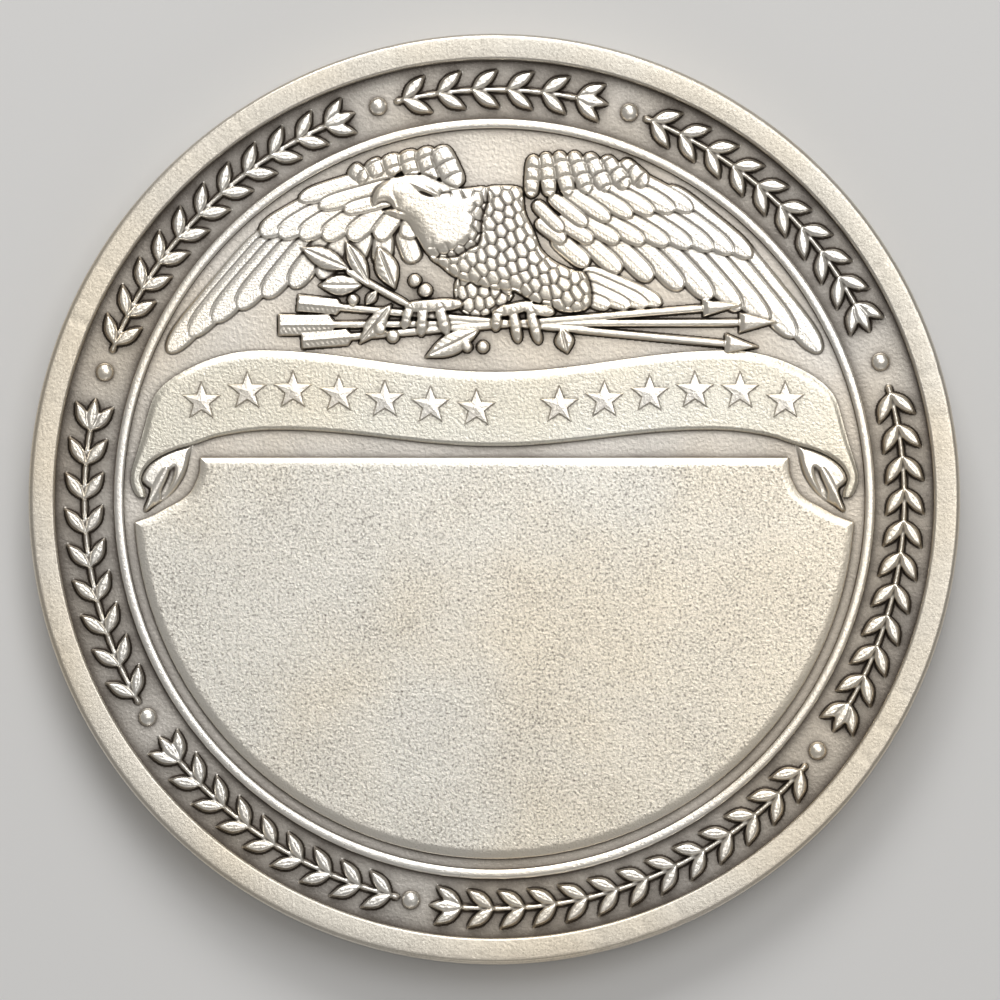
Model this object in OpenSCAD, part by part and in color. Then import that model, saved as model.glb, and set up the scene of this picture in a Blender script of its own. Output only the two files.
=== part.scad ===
// Struck challenge coin, lying on its reverse with the engravable obverse facing up.
// Frame: +Z up, +Y towards the top of the design, origin under the centre on the resting plane.
// Every raised device is a solid of its own, seated face to face on the blank or on the
// device beneath it. Plan outlines are drawn for a field of the nominal radius art_r and
// follow the field when the blank, the rim or the legend channel changes size.

/* [Blank] */
// Diameter over the rim
coin_d = 44.5; // [36:0.5:56]
// Height over both faces of the rim
coin_t = 3.2; // [2.6:0.05:4]
// Width of the raised rim
rim_w = 1.25; // [0.8:0.05:2]
// Rounding of the rim's outer edges
rim_round = 0.4; // [0.1:0.05:0.6]
// Chamfer of the rim's inner edges
rim_chamfer = 0.12; // [0.05:0.01:0.3]

/* [Obverse levels] */
// Depth of the legend channel below the rim
channel_depth = 0.65; // [0.4:0.05:0.8]
// Depth of the central field below the rim
field_depth = 0.5; // [0.4:0.05:0.7]
// Height of the panel above the field
panel_h = 0.38; // [0.2:0.02:0.4]
// Height of the ribbon above the field
ribbon_h = 0.28; // [0.15:0.01:0.35]
// Height of the stars above the ribbon
star_h = 0.12; // [0.05:0.01:0.15]
// Height of the wire ring above the channel floor
wire_h = 0.46; // [0.3:0.02:0.55]

/* [Legend channel] */
// Width of the channel between the rim and the wire ring
channel_w = 2.82; // [2:0.05:3.5]
// Width of the wire ring
wire_w = 0.46; // [0.3:0.02:0.7]
// Free margin between the laurel and the channel's walls
laurel_margin = 0.52; // [0.3:0.02:0.8]
// Height of the laurel above the channel floor
laurel_h = 0.44; // [0.2:0.02:0.5]
// Width of a laurel leaf
laurel_leaf_w = 0.6; // [0.4:0.02:0.8]
// Distance along the stem between pairs of leaves
laurel_pitch = 1.55; // [1.3:0.05:2.5]
// Radius of a pearl between two sprays
pearl_r = 0.44; // [0.25:0.01:0.5]

/* [Panel] */
// Gap between the wire ring and the panel
panel_gap = 0.5; // [0.3:0.05:0.8]
// Height of the panel's straight top edge above the centre
panel_top = 1.95; // [1:0.05:2]
// Chamfer round the panel's upper edge
panel_chamfer = 0.2; // [0.05:0.05:0.3]

/* [Stars] */
// Radius over the points of a star
star_r = 0.98; // [0.6:0.02:1.1]
// Radius at the inner corners of a star
star_inner_r = 0.42; // [0.3:0.02:0.5]

/* [Reverse] */
// Depth of the reverse field below the rim
reverse_depth = 0.45; // [0.3:0.05:0.6]
// Height of the reverse devices above their field
reverse_h = 0.32; // [0.1:0.02:0.4]
// Radius over the points of the reverse star
reverse_star_r = 7.4; // [4:0.1:8]
// Radius of the reverse wreath's stem
wreath_r = 13.2; // [12:0.1:14.5]
// Length of a wreath leaf
wreath_leaf = 3.1; // [2:0.1:3.6]
// Pairs of leaves on each branch of the wreath
wreath_pairs = 11; // [6:1:13]

/* [Hidden] */
$fn = 96;

// Radii and levels of the blank.
coin_r = coin_d / 2;
channel_r = coin_r - rim_w;
wire_r = channel_r - channel_w;
field_r = wire_r - wire_w;
channel_z = coin_t - channel_depth;
field_z = coin_t - field_depth;
art_r = 17.72;
art = field_r / art_r;

// Heights of the eagle's layers above the field, each above the layers that it overlies.
tail_h = 0.12;
primary_h = 0.16;
thigh_h = 0.2;
covert_h = 0.23;
lesser_h = 0.28;
arrow_h = 0.3;
shoulder_h = 0.33;
stem_h = 0.33;
leaf_h = 0.36;
body_h = 0.38;
foot_h = 0.42;
head_h = 0.44;

// Sprays of the legend, each from and to an angle clockwise from the top.
SPRAYS = [[-13, 16], [22.5, 66], [75, 124.5], [131.5, 189], [194.5, 234.5], [241, 284], [292, 340]];
SPRAY_NAMES = [for (i = [1:len(SPRAYS)]) str("laurel_spray_", i)];
spray_lean = 35;
spray_stem_w = 0.24;
laurel_r = channel_r - channel_w / 2;
laurel_leaf = (channel_w / 2 - laurel_margin) / sin(spray_lean);

// Ribbon: both edges rise from the middle to a crest and fall away beyond it, then the band
// narrows into a strip that hangs from each end. The end is drawn for the right-hand side.
ribbon_top = [6.05, 7.08, 11.2, 0.075];
ribbon_bottom = [2.5, 3.28, 10.3, 0.038];
ribbon_top_x = 15.3;
ribbon_bottom_x = 13.2;
RIBBON_END = [[13.54, 2.87], [14.42, 2.56], [15.19, 2.36], [15.96, 2.03], [16.5, 1.64], [16.78, 1.26],
    [16.89, 0.87], [16.72, 0.43], [16.67, 0.05], [17.0, 0.05], [17.27, 0.43], [17.38, 0.98], [17.27, 1.53],
    [17.0, 2.41], [16.72, 3.4], [16.45, 4.39], [16.18, 5.0], [15.74, 5.48]];
STARS_LEFT = [for (i = [0:6]) -14 + 2.19 * i];
STARS_RIGHT = [for (i = [0:5]) 3.1 + 2.16 * i];

// Rows of feathers: [root, tip] of the first, middle and last feather, their number,
// and the width of the first and the last. The first is the outermost.
LEFT_PRIMARIES = [[[-10.6, 13.0], [-15.6, 7.0]], [[-8.0, 12.9], [-10.4, 9.9]], [[-4.4, 12.9], [-3.8, 11.3]], 10, 1.25, 1.0];
LEFT_COVERTS = [[[-7.6, 14.7], [-11.2, 12.65]], [[-6.0, 14.0], [-8.2, 12.45]], [[-3.9, 13.5], [-4.2, 12.45]], 7, 1.15, 0.95];
LEFT_LESSERS = [[[-4.6, 15.75], [-9.35, 14.3]], [[-4.4, 15.1], [-8.4, 13.95]], [[-4.3, 14.5], [-7.2, 13.75]], 3, 0.95, 0.75];
LEFT_SHOULDER = [[[-6.9, 15.85], [-6.1, 15.25]], [[-4.6, 16.6], [-4.3, 15.5]], [[-2.7, 16.85], [-1.75, 14.85]], 6, 0.85, 1.15];
RIGHT_PRIMARIES = [[[10.9, 12.9], [15.6, 7.0]], [[7.6, 12.6], [10.4, 9.55]], [[2.8, 12.6], [4.5, 11.15]], 9, 1.25, 0.95];
RIGHT_COVERTS = [[[8.2, 14.9], [12.3, 11.55]], [[5.4, 13.9], [8.3, 12.15]], [[2.0, 13.3], [3.4, 12.3]], 9, 1.1, 0.75];
RIGHT_LESSERS = [[[5.4, 15.95], [9.5, 13.8]], [[3.9, 15.1], [6.6, 13.5]], [[1.9, 14.2], [3.3, 12.8]], 7, 1.05, 0.7];
RIGHT_SHOULDER = [[[6.0, 16.1], [7.3, 15.0]], [[3.7, 16.6], [4.5, 14.6]], [[1.9, 16.45], [1.75, 14.4]], 7, 0.95, 0.75];
TAIL = [[[4.2, 10.9], [8.0, 9.3]], [[4.0, 10.5], [6.9, 9.15]], [[3.9, 9.8], [5.5, 9.15]], 4, 0.95, 0.7];

// Outlines drawn through hand-placed points.
HEAD = [[-5.78, 13.95], [-5.9, 14.4], [-5.6, 14.95], [-4.9, 15.35], [-4.1, 15.5], [-3.3, 15.5],
    [-2.6, 15.2], [-1.9, 14.9], [-1.2, 14.87], [-0.4, 14.9], [-0.3, 14.2], [-0.55, 13.4],
    [-0.6, 12.7], [-0.75, 12.15], [-1.2, 11.9], [-1.8, 11.55], [-2.5, 11.5], [-3.1, 11.6],
    [-3.5, 12.1], [-3.9, 12.8], [-4.2, 13.25], [-4.7, 13.4], [-5.35, 13.72], [-5.05, 13.88],
    [-4.95, 14.0], [-5.2, 14.15], [-5.5, 14.1]];
BODY = [[-0.5, 14.85], [0.4, 14.98], [1.3, 14.85], [1.4, 14.2], [1.5, 13.6], [1.9, 12.8],
    [2.2, 12.0], [2.8, 11.4], [3.6, 11.0], [4.3, 10.8], [4.6, 10.1], [4.6, 9.3], [4.2, 8.95],
    [3.3, 8.9], [2.6, 9.2], [1.8, 9.4], [1.0, 9.9], [0.2, 10.0], [-0.9, 10.25], [-1.9, 10.6],
    [-2.6, 11.15], [-3.1, 11.6], [-2.4, 12.2], [-1.3, 13.2], [-0.8, 14.2]];
THIGH = [[-1.8, 10.5], [-1.9, 9.8], [-1.75, 9.2], [-1.3, 8.8], [-0.4, 8.75], [0.3, 9.1],
    [0.9, 9.7], [0.6, 10.2], [-0.4, 10.5], [-1.2, 10.7]];

// Toes and talons: [root, tip, width].
LEFT_FOOT = [[[-1.5, 9.3], [-4.3, 9.15], 0.55], [[-4.0, 9.3], [-4.35, 8.1], 0.42],
    [[-3.4, 9.3], [-3.5, 7.75], 0.46], [[-2.7, 9.35], [-2.25, 7.8], 0.48]];
RIGHT_FOOT = [[[0.0, 8.85], [1.9, 9.3], 0.5], [[1.4, 9.1], [2.9, 8.9], 0.5], [[0.15, 9.05], [0.05, 8.0], 0.44],
    [[0.85, 9.15], [1.15, 7.45], 0.46], [[1.65, 9.15], [2.15, 7.4], 0.46]];

// Arrows: [rear end of the shaft, base of the head, length and width of the head,
// length and width of the fletching].
ARROWS = [[[-9.4, 9.35], [11.0, 7.4], 1.65, 1.0, 1.9, 0.8], [[-10.3, 8.3], [11.7, 8.42], 1.8, 1.0, 2.5, 1.0],
    [[-9.2, 7.55], [9.95, 9.1], 1.85, 0.85, 2.2, 0.8]];
shaft_w = 0.34;

// Olive branch: leaves as [root, tip, width], berries as [centre, radius].
OLIVE_STEM = [[-4.0, 9.2], [-7.1, 10.9], 0.36];
OLIVE_LEAVES = [[[-6.9, 10.95], [-9.25, 12.0], 0.95], [[-6.0, 10.3], [-7.1, 12.3], 0.82],
    [[-4.75, 10.0], [-5.55, 12.05], 1.1], [[-6.3, 10.2], [-8.4, 10.2], 1.0], [[-5.6, 9.95], [-6.15, 9.25], 0.5]];
HANGING_LEAVES = [[[-4.9, 9.3], [-6.45, 7.4], 0.85], [[-0.7, 8.05], [-3.3, 6.75], 1.05], [[3.2, 8.15], [3.5, 6.95], 0.9]];
BERRIES = [[[-6.75, 9.5], 0.27], [[-3.8, 10.42], 0.3], [[-3.3, 9.95], 0.33], [[-5.45, 8.1], 0.28],
    [[-4.85, 7.75], 0.3], [[-1.3, 7.25], 0.25], [[-0.55, 7.25], 0.28]];

// Curl behind the ribbon's end, drawn for the right-hand side.
FOLD = [[14.5, 2.75], [14.6, 1.95], [14.8, 1.2], [15.19, 0.54], [15.63, 0.1], [16.18, -0.28], [16.72, -0.61],
    [16.5, 0.1], [16.45, 0.43], [16.75, 0.7], [16.95, 1.0], [16.7, 1.6], [16.1, 2.2], [15.3, 2.6]];

// Scallop that the curl leaves in the panel, from the top edge outwards on the right-hand side.
NOTCH = [[14.05, 3.0], [14.05, 1.95], [14.1, 1.2], [14.25, 0.8], [14.5, 0.32], [14.9, -0.05], [15.4, -0.33],
    [16.2, -0.77], [17.05, -1.1], [17.9, -1.4]];

// What lies beneath a device, and so is cut out of it.
BENEATH = [
    ["wing_right_primaries", ["eagle_tail"]],
    ["wing_left_coverts", ["wing_left_primaries"]],
    ["wing_left_lessers", ["wing_left_primaries", "wing_left_coverts"]],
    ["wing_left_shoulder", ["wing_left_coverts", "wing_left_lessers"]],
    ["wing_right_coverts", ["wing_right_primaries"]],
    ["wing_right_lessers", ["wing_right_primaries", "wing_right_coverts"]],
    ["wing_right_shoulder", ["wing_right_coverts", "wing_right_lessers"]],
    ["eagle_thigh", ["eagle_tail"]],
    ["eagle_body", ["eagle_thigh", "eagle_tail", "wing_right_primaries", "wing_right_coverts",
        "wing_right_lessers", "wing_right_shoulder"]],
    ["eagle_head", ["eagle_body", "wing_left_primaries", "wing_left_coverts", "wing_left_lessers",
        "wing_left_shoulder"]],
    ["arrow_2", ["eagle_tail", "eagle_thigh", "wing_right_primaries"]],
    ["arrow_1", ["eagle_tail", "eagle_thigh", "wing_right_primaries", "arrow_2", "ribbon"]],
    ["arrow_3", ["eagle_tail", "eagle_thigh", "wing_right_primaries", "arrow_1", "arrow_2"]],
    ["olive_stem", ["wing_left_primaries", "arrow_1"]],
    ["olive_leaves", ["wing_left_primaries", "arrow_1", "olive_stem"]],
    ["hanging_leaves", ["arrow_1", "arrow_2", "arrow_3", "olive_stem"]],
    ["berries", ["wing_left_primaries", "arrow_1", "arrow_2", "arrow_3", "olive_leaves", "hanging_leaves"]],
    ["eagle_foot_left", ["arrow_1", "arrow_2", "arrow_3", "olive_stem", "eagle_thigh", "hanging_leaves"]],
    ["eagle_foot_right", ["arrow_1", "arrow_2", "arrow_3", "eagle_thigh", "eagle_body", "hanging_leaves"]],
    ["ribbon_fold_left", ["ribbon"]],
    ["ribbon_fold_right", ["ribbon"]],
];

// ---- curves ----

// Point at an angle clockwise from the top, as the legend is read.
function on_dial(r, a) = [r * sin(a), r * cos(a)];

// Smooth curve through p1 and p2, shaped by its neighbours p0 and p3.
function curve_point(p0, p1, p2, p3, t) =
    0.5 * (2 * p1 + (p2 - p0) * t + (2 * p0 - 5 * p1 + 4 * p2 - p3) * t * t
    + (3 * p1 - p0 - 3 * p2 + p3) * t * t * t);

// Closed curve through hand-placed points.
function smooth_loop(p, steps = 3) = let (n = len(p))
    [for (i = [0:n - 1], j = [0:steps - 1])
        curve_point(p[(i + n - 1) % n], p[i], p[(i + 1) % n], p[(i + 2) % n], j / steps)];

// Open curve through hand-placed points.
function smooth_path(p, steps = 3) = let (last = len(p) - 1) concat(
    [for (i = [0:last - 1], j = [0:steps - 1])
        curve_point(p[max(i - 1, 0)], p[i], p[i + 1], p[min(i + 2, last)], j / steps)],
    [p[last]]);

// Path moved to its right by a distance.
function moved_right(p, by) = let (last = len(p) - 1)
    [for (i = [0:last]) let (along = p[min(i + 1, last)] - p[max(i - 1, 0)])
        p[i] + by * [along[1], -along[0]] / norm(along)];

function mirrored(p) = [for (i = [len(p) - 1:-1:0]) [-p[i][0], p[i][1]]];

// Value on the parabola through a, b and c at t = 0, 0.5 and 1.
function between(a, b, c, t) = 2 * (t - 0.5) * (t - 1) * a - 4 * t * (t - 1) * b + 2 * t * (t - 0.5) * c;

// Outline of a blade from root to tip. A high fullness gives a feather with round ends,
// and a fullness of 1 gives a leaf with two points.
function blade(root, tip, w, fullness, steps = 7) = let (
    along = tip - root,
    across = [-along[1], along[0]] / norm(along),
    half = function(t) w / 2 * (fullness > 1 ? pow(1 - pow(abs(2 * t - 1), fullness), 0.5) : sin(180 * t))
) concat(
    [for (i = [0:steps]) root + along * i / steps + across * half(i / steps)],
    [for (i = [steps - 1:-1:1]) root + along * i / steps - across * half(i / steps)]);

// Height of a ribbon edge at a distance from the middle.
function ribbon_edge(e, x) = let (a = abs(x))
    a < e[2] ? e[0] + (e[1] - e[0]) * (1 - cos(180 * a / e[2])) / 2 : e[1] - e[3] * pow(a - e[2], 2);

function ribbon_middle(x) = (ribbon_edge(ribbon_top, x) + ribbon_edge(ribbon_bottom, x)) / 2;

function star_outline(outer, inner) = [for (i = [0:9]) on_dial(i % 2 == 0 ? outer : inner, 36 * i)];

function beneath(name) = let (found = search([name], BENEATH)[0]) found == [] ? [] : BENEATH[found][1];

// ---- plan shapes, in art units ----

module plan(points) polygon(art * points);

module feather_row(row) {
    for (i = [0:row[3] - 1]) {
        t = i / (row[3] - 1);
        root = between(row[0][0], row[1][0], row[2][0], t);
        tip = between(row[0][1], row[1][1], row[2][1], t);
        plan(blade(root, tip, row[4] + (row[5] - row[4]) * t, 5));
    }
}

module blades(list, fullness) {
    for (b = list) plan(blade(b[0], b[1], b[2], fullness));
}

module arrow_plan(a) {
    along = (a[1] - a[0]) / norm(a[1] - a[0]);
    across = [-along[1], along[0]];
    vane_end = a[0] + along * a[4];
    plan([for (s = [-1, 1], end = s < 0 ? [a[0], a[1] + along * 0.3] : [a[1] + along * 0.3, a[0]])
        end + across * s * shaft_w / 2]);
    plan([a[1] + across * a[3] / 2, a[1] + along * a[2], a[1] - across * a[3] / 2]);
    plan([a[0] + across * a[5] / 2, vane_end + across * a[5] / 2, vane_end + along * 0.35 + across * shaft_w / 4,
        vane_end + along * 0.35 - across * shaft_w / 4, vane_end - across * a[5] / 2, a[0] - across * a[5] / 2]);
}

module ribbon_plan() {
    count = 26;
    across = [for (i = [-count:count]) i / count];
    end = smooth_path(RIBBON_END, 2);
    plan(concat([for (t = across) [t * ribbon_bottom_x, ribbon_edge(ribbon_bottom, t * ribbon_bottom_x)]], end,
        [for (t = across) [-t * ribbon_top_x, ribbon_edge(ribbon_top, t * ribbon_top_x)]], mirrored(end)));
}

// Panel: the disc inside the wire ring below a straight edge, scalloped round the ribbon's curls.
module panel_plan(inset) {
    notch = moved_right(smooth_path(art * NOTCH), inset);
    difference() {
        intersection() {
            circle(r = field_r - panel_gap - inset);
            translate([-coin_r, -coin_d]) square([coin_d, coin_d + art * panel_top - inset]);
        }
        for (side = [0, 1])
            mirror([side, 0]) polygon(concat(notch, [[coin_r, -1.4 * art - inset], [coin_r, 3 * art]]));
    }
}

// ---- devices ----

module spray(i) {
    from = SPRAYS[i][0];
    to = SPRAYS[i][1];
    turn = 180 / PI / laurel_r;
    pairs = round((to - from) / turn / laurel_pitch);
    step = (to - from - laurel_leaf * turn) / (pairs - 1);
    first = from - spray_stem_w * turn;
    last = to - laurel_leaf * turn * 0.85;
    stem = [for (j = [0:2 * pairs]) first + (last - first) * j / (2 * pairs)];
    translate([0, 0, channel_z]) {
        linear_extrude(laurel_h) polygon(concat([for (a = stem) on_dial(laurel_r + spray_stem_w / 2, a)],
            [for (j = [len(stem) - 1:-1:0]) on_dial(laurel_r - spray_stem_w / 2, stem[j])]));
        for (p = [0:pairs - 1], lean = p < pairs - 1 ? [-spray_lean, spray_lean] : [-spray_lean, 0, spray_lean]) {
            a = from + p * step;
            root = on_dial(laurel_r, a);
            linear_extrude(laurel_h)
                polygon(blade(root, root + laurel_leaf * [cos(a + lean), -sin(a + lean)], laurel_leaf_w, 1, 5));
        }
    }
}

// Half-ball standing on z = 0.
module pearl(r) {
    rotate_extrude() intersection() {
        circle(r = r);
        square(r);
    }
}

module raised(h) {
    translate([0, 0, field_z]) linear_extrude(h) children();
}

module stars(places) {
    translate([0, 0, field_z + ribbon_h]) linear_extrude(star_h)
        for (x = places) translate(art * [x, ribbon_middle(x)]) polygon(art * star_outline(star_r, star_inner_r));
}

// A device of the central field, before what lies beneath it is cut away.
module device(name) {
    if (name == "ribbon") raised(ribbon_h) ribbon_plan();
    if (name == "ribbon_fold_left") raised(ribbon_h - 0.04) mirror([1, 0]) plan(smooth_loop(FOLD));
    if (name == "ribbon_fold_right") raised(ribbon_h - 0.04) plan(smooth_loop(FOLD));
    if (name == "eagle_tail") raised(tail_h) feather_row(TAIL);
    if (name == "eagle_thigh") raised(thigh_h) plan(smooth_loop(THIGH));
    if (name == "eagle_body") raised(body_h) plan(smooth_loop(BODY));
    if (name == "eagle_head") raised(head_h) plan(smooth_loop(HEAD));
    if (name == "eagle_foot_left") raised(foot_h) blades(LEFT_FOOT, 3);
    if (name == "eagle_foot_right") raised(foot_h) blades(RIGHT_FOOT, 3);
    if (name == "wing_left_primaries") raised(primary_h) feather_row(LEFT_PRIMARIES);
    if (name == "wing_left_coverts") raised(covert_h) feather_row(LEFT_COVERTS);
    if (name == "wing_left_lessers") raised(lesser_h) feather_row(LEFT_LESSERS);
    if (name == "wing_left_shoulder") raised(shoulder_h) feather_row(LEFT_SHOULDER);
    if (name == "wing_right_primaries") raised(primary_h) feather_row(RIGHT_PRIMARIES);
    if (name == "wing_right_coverts") raised(covert_h) feather_row(RIGHT_COVERTS);
    if (name == "wing_right_lessers") raised(lesser_h) feather_row(RIGHT_LESSERS);
    if (name == "wing_right_shoulder") raised(shoulder_h) feather_row(RIGHT_SHOULDER);
    if (name == "arrow_1") raised(arrow_h) arrow_plan(ARROWS[0]);
    if (name == "arrow_2") raised(arrow_h) arrow_plan(ARROWS[1]);
    if (name == "arrow_3") raised(arrow_h) arrow_plan(ARROWS[2]);
    if (name == "olive_stem") raised(stem_h) blades([OLIVE_STEM], 8);
    if (name == "olive_leaves") raised(leaf_h) blades(OLIVE_LEAVES, 1);
    if (name == "hanging_leaves") raised(leaf_h) blades(HANGING_LEAVES, 1);
    if (name == "berries")
        for (b = BERRIES) translate([art * b[0][0], art * b[0][1], field_z]) cylinder(r = art * b[1], h = foot_h);
}

module seated(name) {
    difference() {
        device(name);
        for (lower = beneath(name)) device(lower);
    }
}

// ---- blank and rings ----

module planchet() {
    translate([0, 0, reverse_depth]) cylinder(r = channel_r, h = channel_z - reverse_depth);
    translate([0, 0, channel_z]) cylinder(r = field_r, h = field_z - channel_z);
}

module rim() {
    inner_w = rim_w - rim_round;
    rotate_extrude() translate([channel_r, 0]) {
        polygon([[0, rim_chamfer], [rim_chamfer, 0], [inner_w, 0], [inner_w, coin_t],
            [rim_chamfer, coin_t], [0, coin_t - rim_chamfer]]);
        translate([inner_w, rim_round]) square([rim_round, coin_t - 2 * rim_round]);
        for (z = [rim_round, coin_t - rim_round]) translate([inner_w, z]) circle(r = rim_round);
    }
}

// Ring with a round crown, standing on z = 0.
module crowned_ring(r_in, w, h) {
    crown = min(w / 2, h);
    rotate_extrude() translate([r_in + w / 2, 0]) {
        translate([-w / 2, 0]) square([w, h - crown]);
        translate([0, h - crown]) intersection() {
            circle(r = w / 2);
            translate([-w / 2, 0]) square([w, w / 2]);
        }
    }
}

module wire_ring() {
    translate([0, 0, channel_z]) crowned_ring(field_r, wire_w, wire_h);
}

module legend_pearls() {
    for (i = [0:len(SPRAYS) - 1]) {
        next = SPRAYS[(i + 1) % len(SPRAYS)][0] + (i == len(SPRAYS) - 1 ? 360 : 0);
        at = on_dial(laurel_r, (SPRAYS[i][1] + next) / 2);
        translate([at[0], at[1], channel_z]) pearl(pearl_r);
    }
}

module engraving_panel() {
    raised(panel_h - panel_chamfer / 2) panel_plan(0);
    translate([0, 0, panel_h - panel_chamfer / 2]) raised(panel_chamfer / 2) panel_plan(panel_chamfer);
}

// ---- reverse, whose devices hang below the blank ----

module hanging(h) {
    translate([0, 0, reverse_depth - h]) linear_extrude(h) children();
}

module reverse_ring() {
    translate([0, 0, reverse_depth]) mirror([0, 0, 1]) crowned_ring(field_r, wire_w, reverse_h);
}

module reverse_pearls() {
    count = 72;
    bead = min(pearl_r, reverse_h);
    for (i = [0:count - 1]) {
        at = on_dial((channel_r + wire_r) / 2, 360 * i / count);
        translate([at[0], at[1], reverse_depth]) mirror([0, 0, 1]) pearl(bead);
    }
}

module reverse_star() {
    hanging(reverse_h) polygon(art * star_outline(reverse_star_r, reverse_star_r * 0.4));
}

// One branch of the wreath, from the bottom of the coin up its right-hand side.
module wreath_branch() {
    start = 170;
    end = 31;
    lean = 30;
    stem = [for (j = [0:24]) start + 5 + (end - start - 7) * j / 24];
    hanging(reverse_h) polygon(art * concat([for (a = stem) on_dial(wreath_r + 0.2, a)],
        [for (j = [len(stem) - 1:-1:0]) on_dial(wreath_r - 0.2, stem[j])]));
    for (p = [0:wreath_pairs - 1], turn = p < wreath_pairs - 1 ? [-lean, lean] : [-lean, 0, lean]) {
        a = start + (end - start) * p / (wreath_pairs - 1);
        root = on_dial(wreath_r, a);
        hanging(reverse_h)
            polygon(art * blade(root, root + wreath_leaf * [-cos(a + turn), sin(a + turn)], 1.15, 1, 6));
    }
}

// ---- assembly ----

brass = "#c9c0a6";
antique = "#8f877a";

color(antique) planchet();
color(brass) rim();
color(brass) wire_ring();
color(brass) legend_pearls();
for (i = [0:len(SPRAYS) - 1])
    color(brass) spray(i);
color(brass) engraving_panel();
color(brass) stars(STARS_LEFT);  // ribbon_stars_left
color(brass) stars(STARS_RIGHT);  // ribbon_stars_right
for (name = ["ribbon", "ribbon_fold_left", "ribbon_fold_right", "eagle_head", "eagle_body", "eagle_thigh",
    "eagle_tail", "eagle_foot_left", "eagle_foot_right", "wing_left_primaries", "wing_left_coverts",
    "wing_left_lessers", "wing_left_shoulder", "wing_right_primaries", "wing_right_coverts",
    "wing_right_lessers", "wing_right_shoulder", "arrow_1", "arrow_2", "arrow_3", "olive_stem",
    "olive_leaves", "hanging_leaves", "berries"])
    color(brass) seated(name);
color(brass) reverse_ring();
color(brass) reverse_pearls();
color(brass) reverse_star();
color(brass) mirror([1, 0, 0]) wreath_branch();  // reverse_wreath_left
color(brass) wreath_branch();  // reverse_wreath_right
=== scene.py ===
"""Struck challenge coin in antique brass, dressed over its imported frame.

The obverse and reverse devices are sunk into height maps, as an engraver sinks a die, and each
named device is struck out of its map as a closed mesh of its own. Rims, rings, the ribbon, the
stars and the engraving panel are lofted. Sizes inside the script are millimetres in the frame's
plan; meshes are written in metres.
"""
from __future__ import annotations

import logging
import math
import sys
from dataclasses import dataclass, field
from enum import Enum
from typing import Callable, Iterable, Sequence

import bmesh
import bpy
import numpy as np
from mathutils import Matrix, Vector

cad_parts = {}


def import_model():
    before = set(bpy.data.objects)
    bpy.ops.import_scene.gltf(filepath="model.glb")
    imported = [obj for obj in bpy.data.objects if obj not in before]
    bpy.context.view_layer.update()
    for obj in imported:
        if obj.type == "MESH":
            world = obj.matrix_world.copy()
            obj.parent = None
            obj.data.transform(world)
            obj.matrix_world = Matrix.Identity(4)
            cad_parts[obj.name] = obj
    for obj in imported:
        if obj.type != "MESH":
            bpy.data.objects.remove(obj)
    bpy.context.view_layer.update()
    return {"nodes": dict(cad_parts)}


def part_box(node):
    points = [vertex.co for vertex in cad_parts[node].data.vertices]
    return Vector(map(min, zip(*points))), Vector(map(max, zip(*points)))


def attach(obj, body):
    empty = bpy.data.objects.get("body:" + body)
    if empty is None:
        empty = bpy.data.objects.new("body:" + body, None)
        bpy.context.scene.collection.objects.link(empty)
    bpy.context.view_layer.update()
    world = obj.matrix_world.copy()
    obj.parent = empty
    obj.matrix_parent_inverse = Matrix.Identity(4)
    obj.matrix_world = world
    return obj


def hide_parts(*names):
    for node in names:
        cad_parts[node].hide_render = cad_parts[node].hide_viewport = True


MM = 0.001
LOG = logging.getLogger("coin")
Point = tuple[float, float]
Grid = np.ndarray


# ---------------------------------------------------------------------------
# Small plan geometry
# ---------------------------------------------------------------------------

def smooth(low: float, high: float, x: Grid) -> Grid:
    """Smooth step from 0 at low to 1 at high."""
    t = np.clip((x - low) / (high - low), 0.0, 1.0)
    return t * t * (3.0 - 2.0 * t)


def bell(x: Grid, width: float) -> Grid:
    """Bell curve of height 1 with the given half width."""
    return np.exp(-(x / width) ** 2)


def on_dial(radius: float, angle: float) -> Point:
    """Point at an angle in degrees clockwise from the top of the coin."""
    return (radius * math.sin(math.radians(angle)), radius * math.cos(math.radians(angle)))


def between(a: float, b: float, c: float, t: float) -> float:
    """Value on the parabola through a, b and c at t = 0, 0.5 and 1."""
    return 2 * (t - 0.5) * (t - 1) * a - 4 * t * (t - 1) * b + 2 * t * (t - 0.5) * c


def blurred(a: Grid, sigma: float) -> Grid:
    """Gaussian blur of a grid.

    Args:
        a: Two-dimensional values.
        sigma: Standard deviation in samples.

    Returns:
        The blurred values, with the borders repeated outwards.
    """
    reach = max(1, int(math.ceil(2.5 * sigma)))
    weights = np.exp(-0.5 * (np.arange(-reach, reach + 1) / sigma) ** 2)
    weights /= weights.sum()
    for axis in (0, 1):
        pad = [(reach, reach) if k == axis else (0, 0) for k in (0, 1)]
        wide = np.pad(a, pad, mode="edge")
        n = a.shape[axis]
        a = sum(w * np.take(wide, np.arange(k, k + n), axis=axis) for k, w in enumerate(weights))
    return a


def resampled(chain: np.ndarray, count: int) -> np.ndarray:
    """Chain with count points at even distances along it."""
    run = np.concatenate([[0.0], np.cumsum(np.linalg.norm(np.diff(chain, axis=0), axis=1))])
    at = np.linspace(0.0, run[-1], count)
    return np.column_stack([np.interp(at, run, chain[:, k]) for k in (0, 1)])


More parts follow.
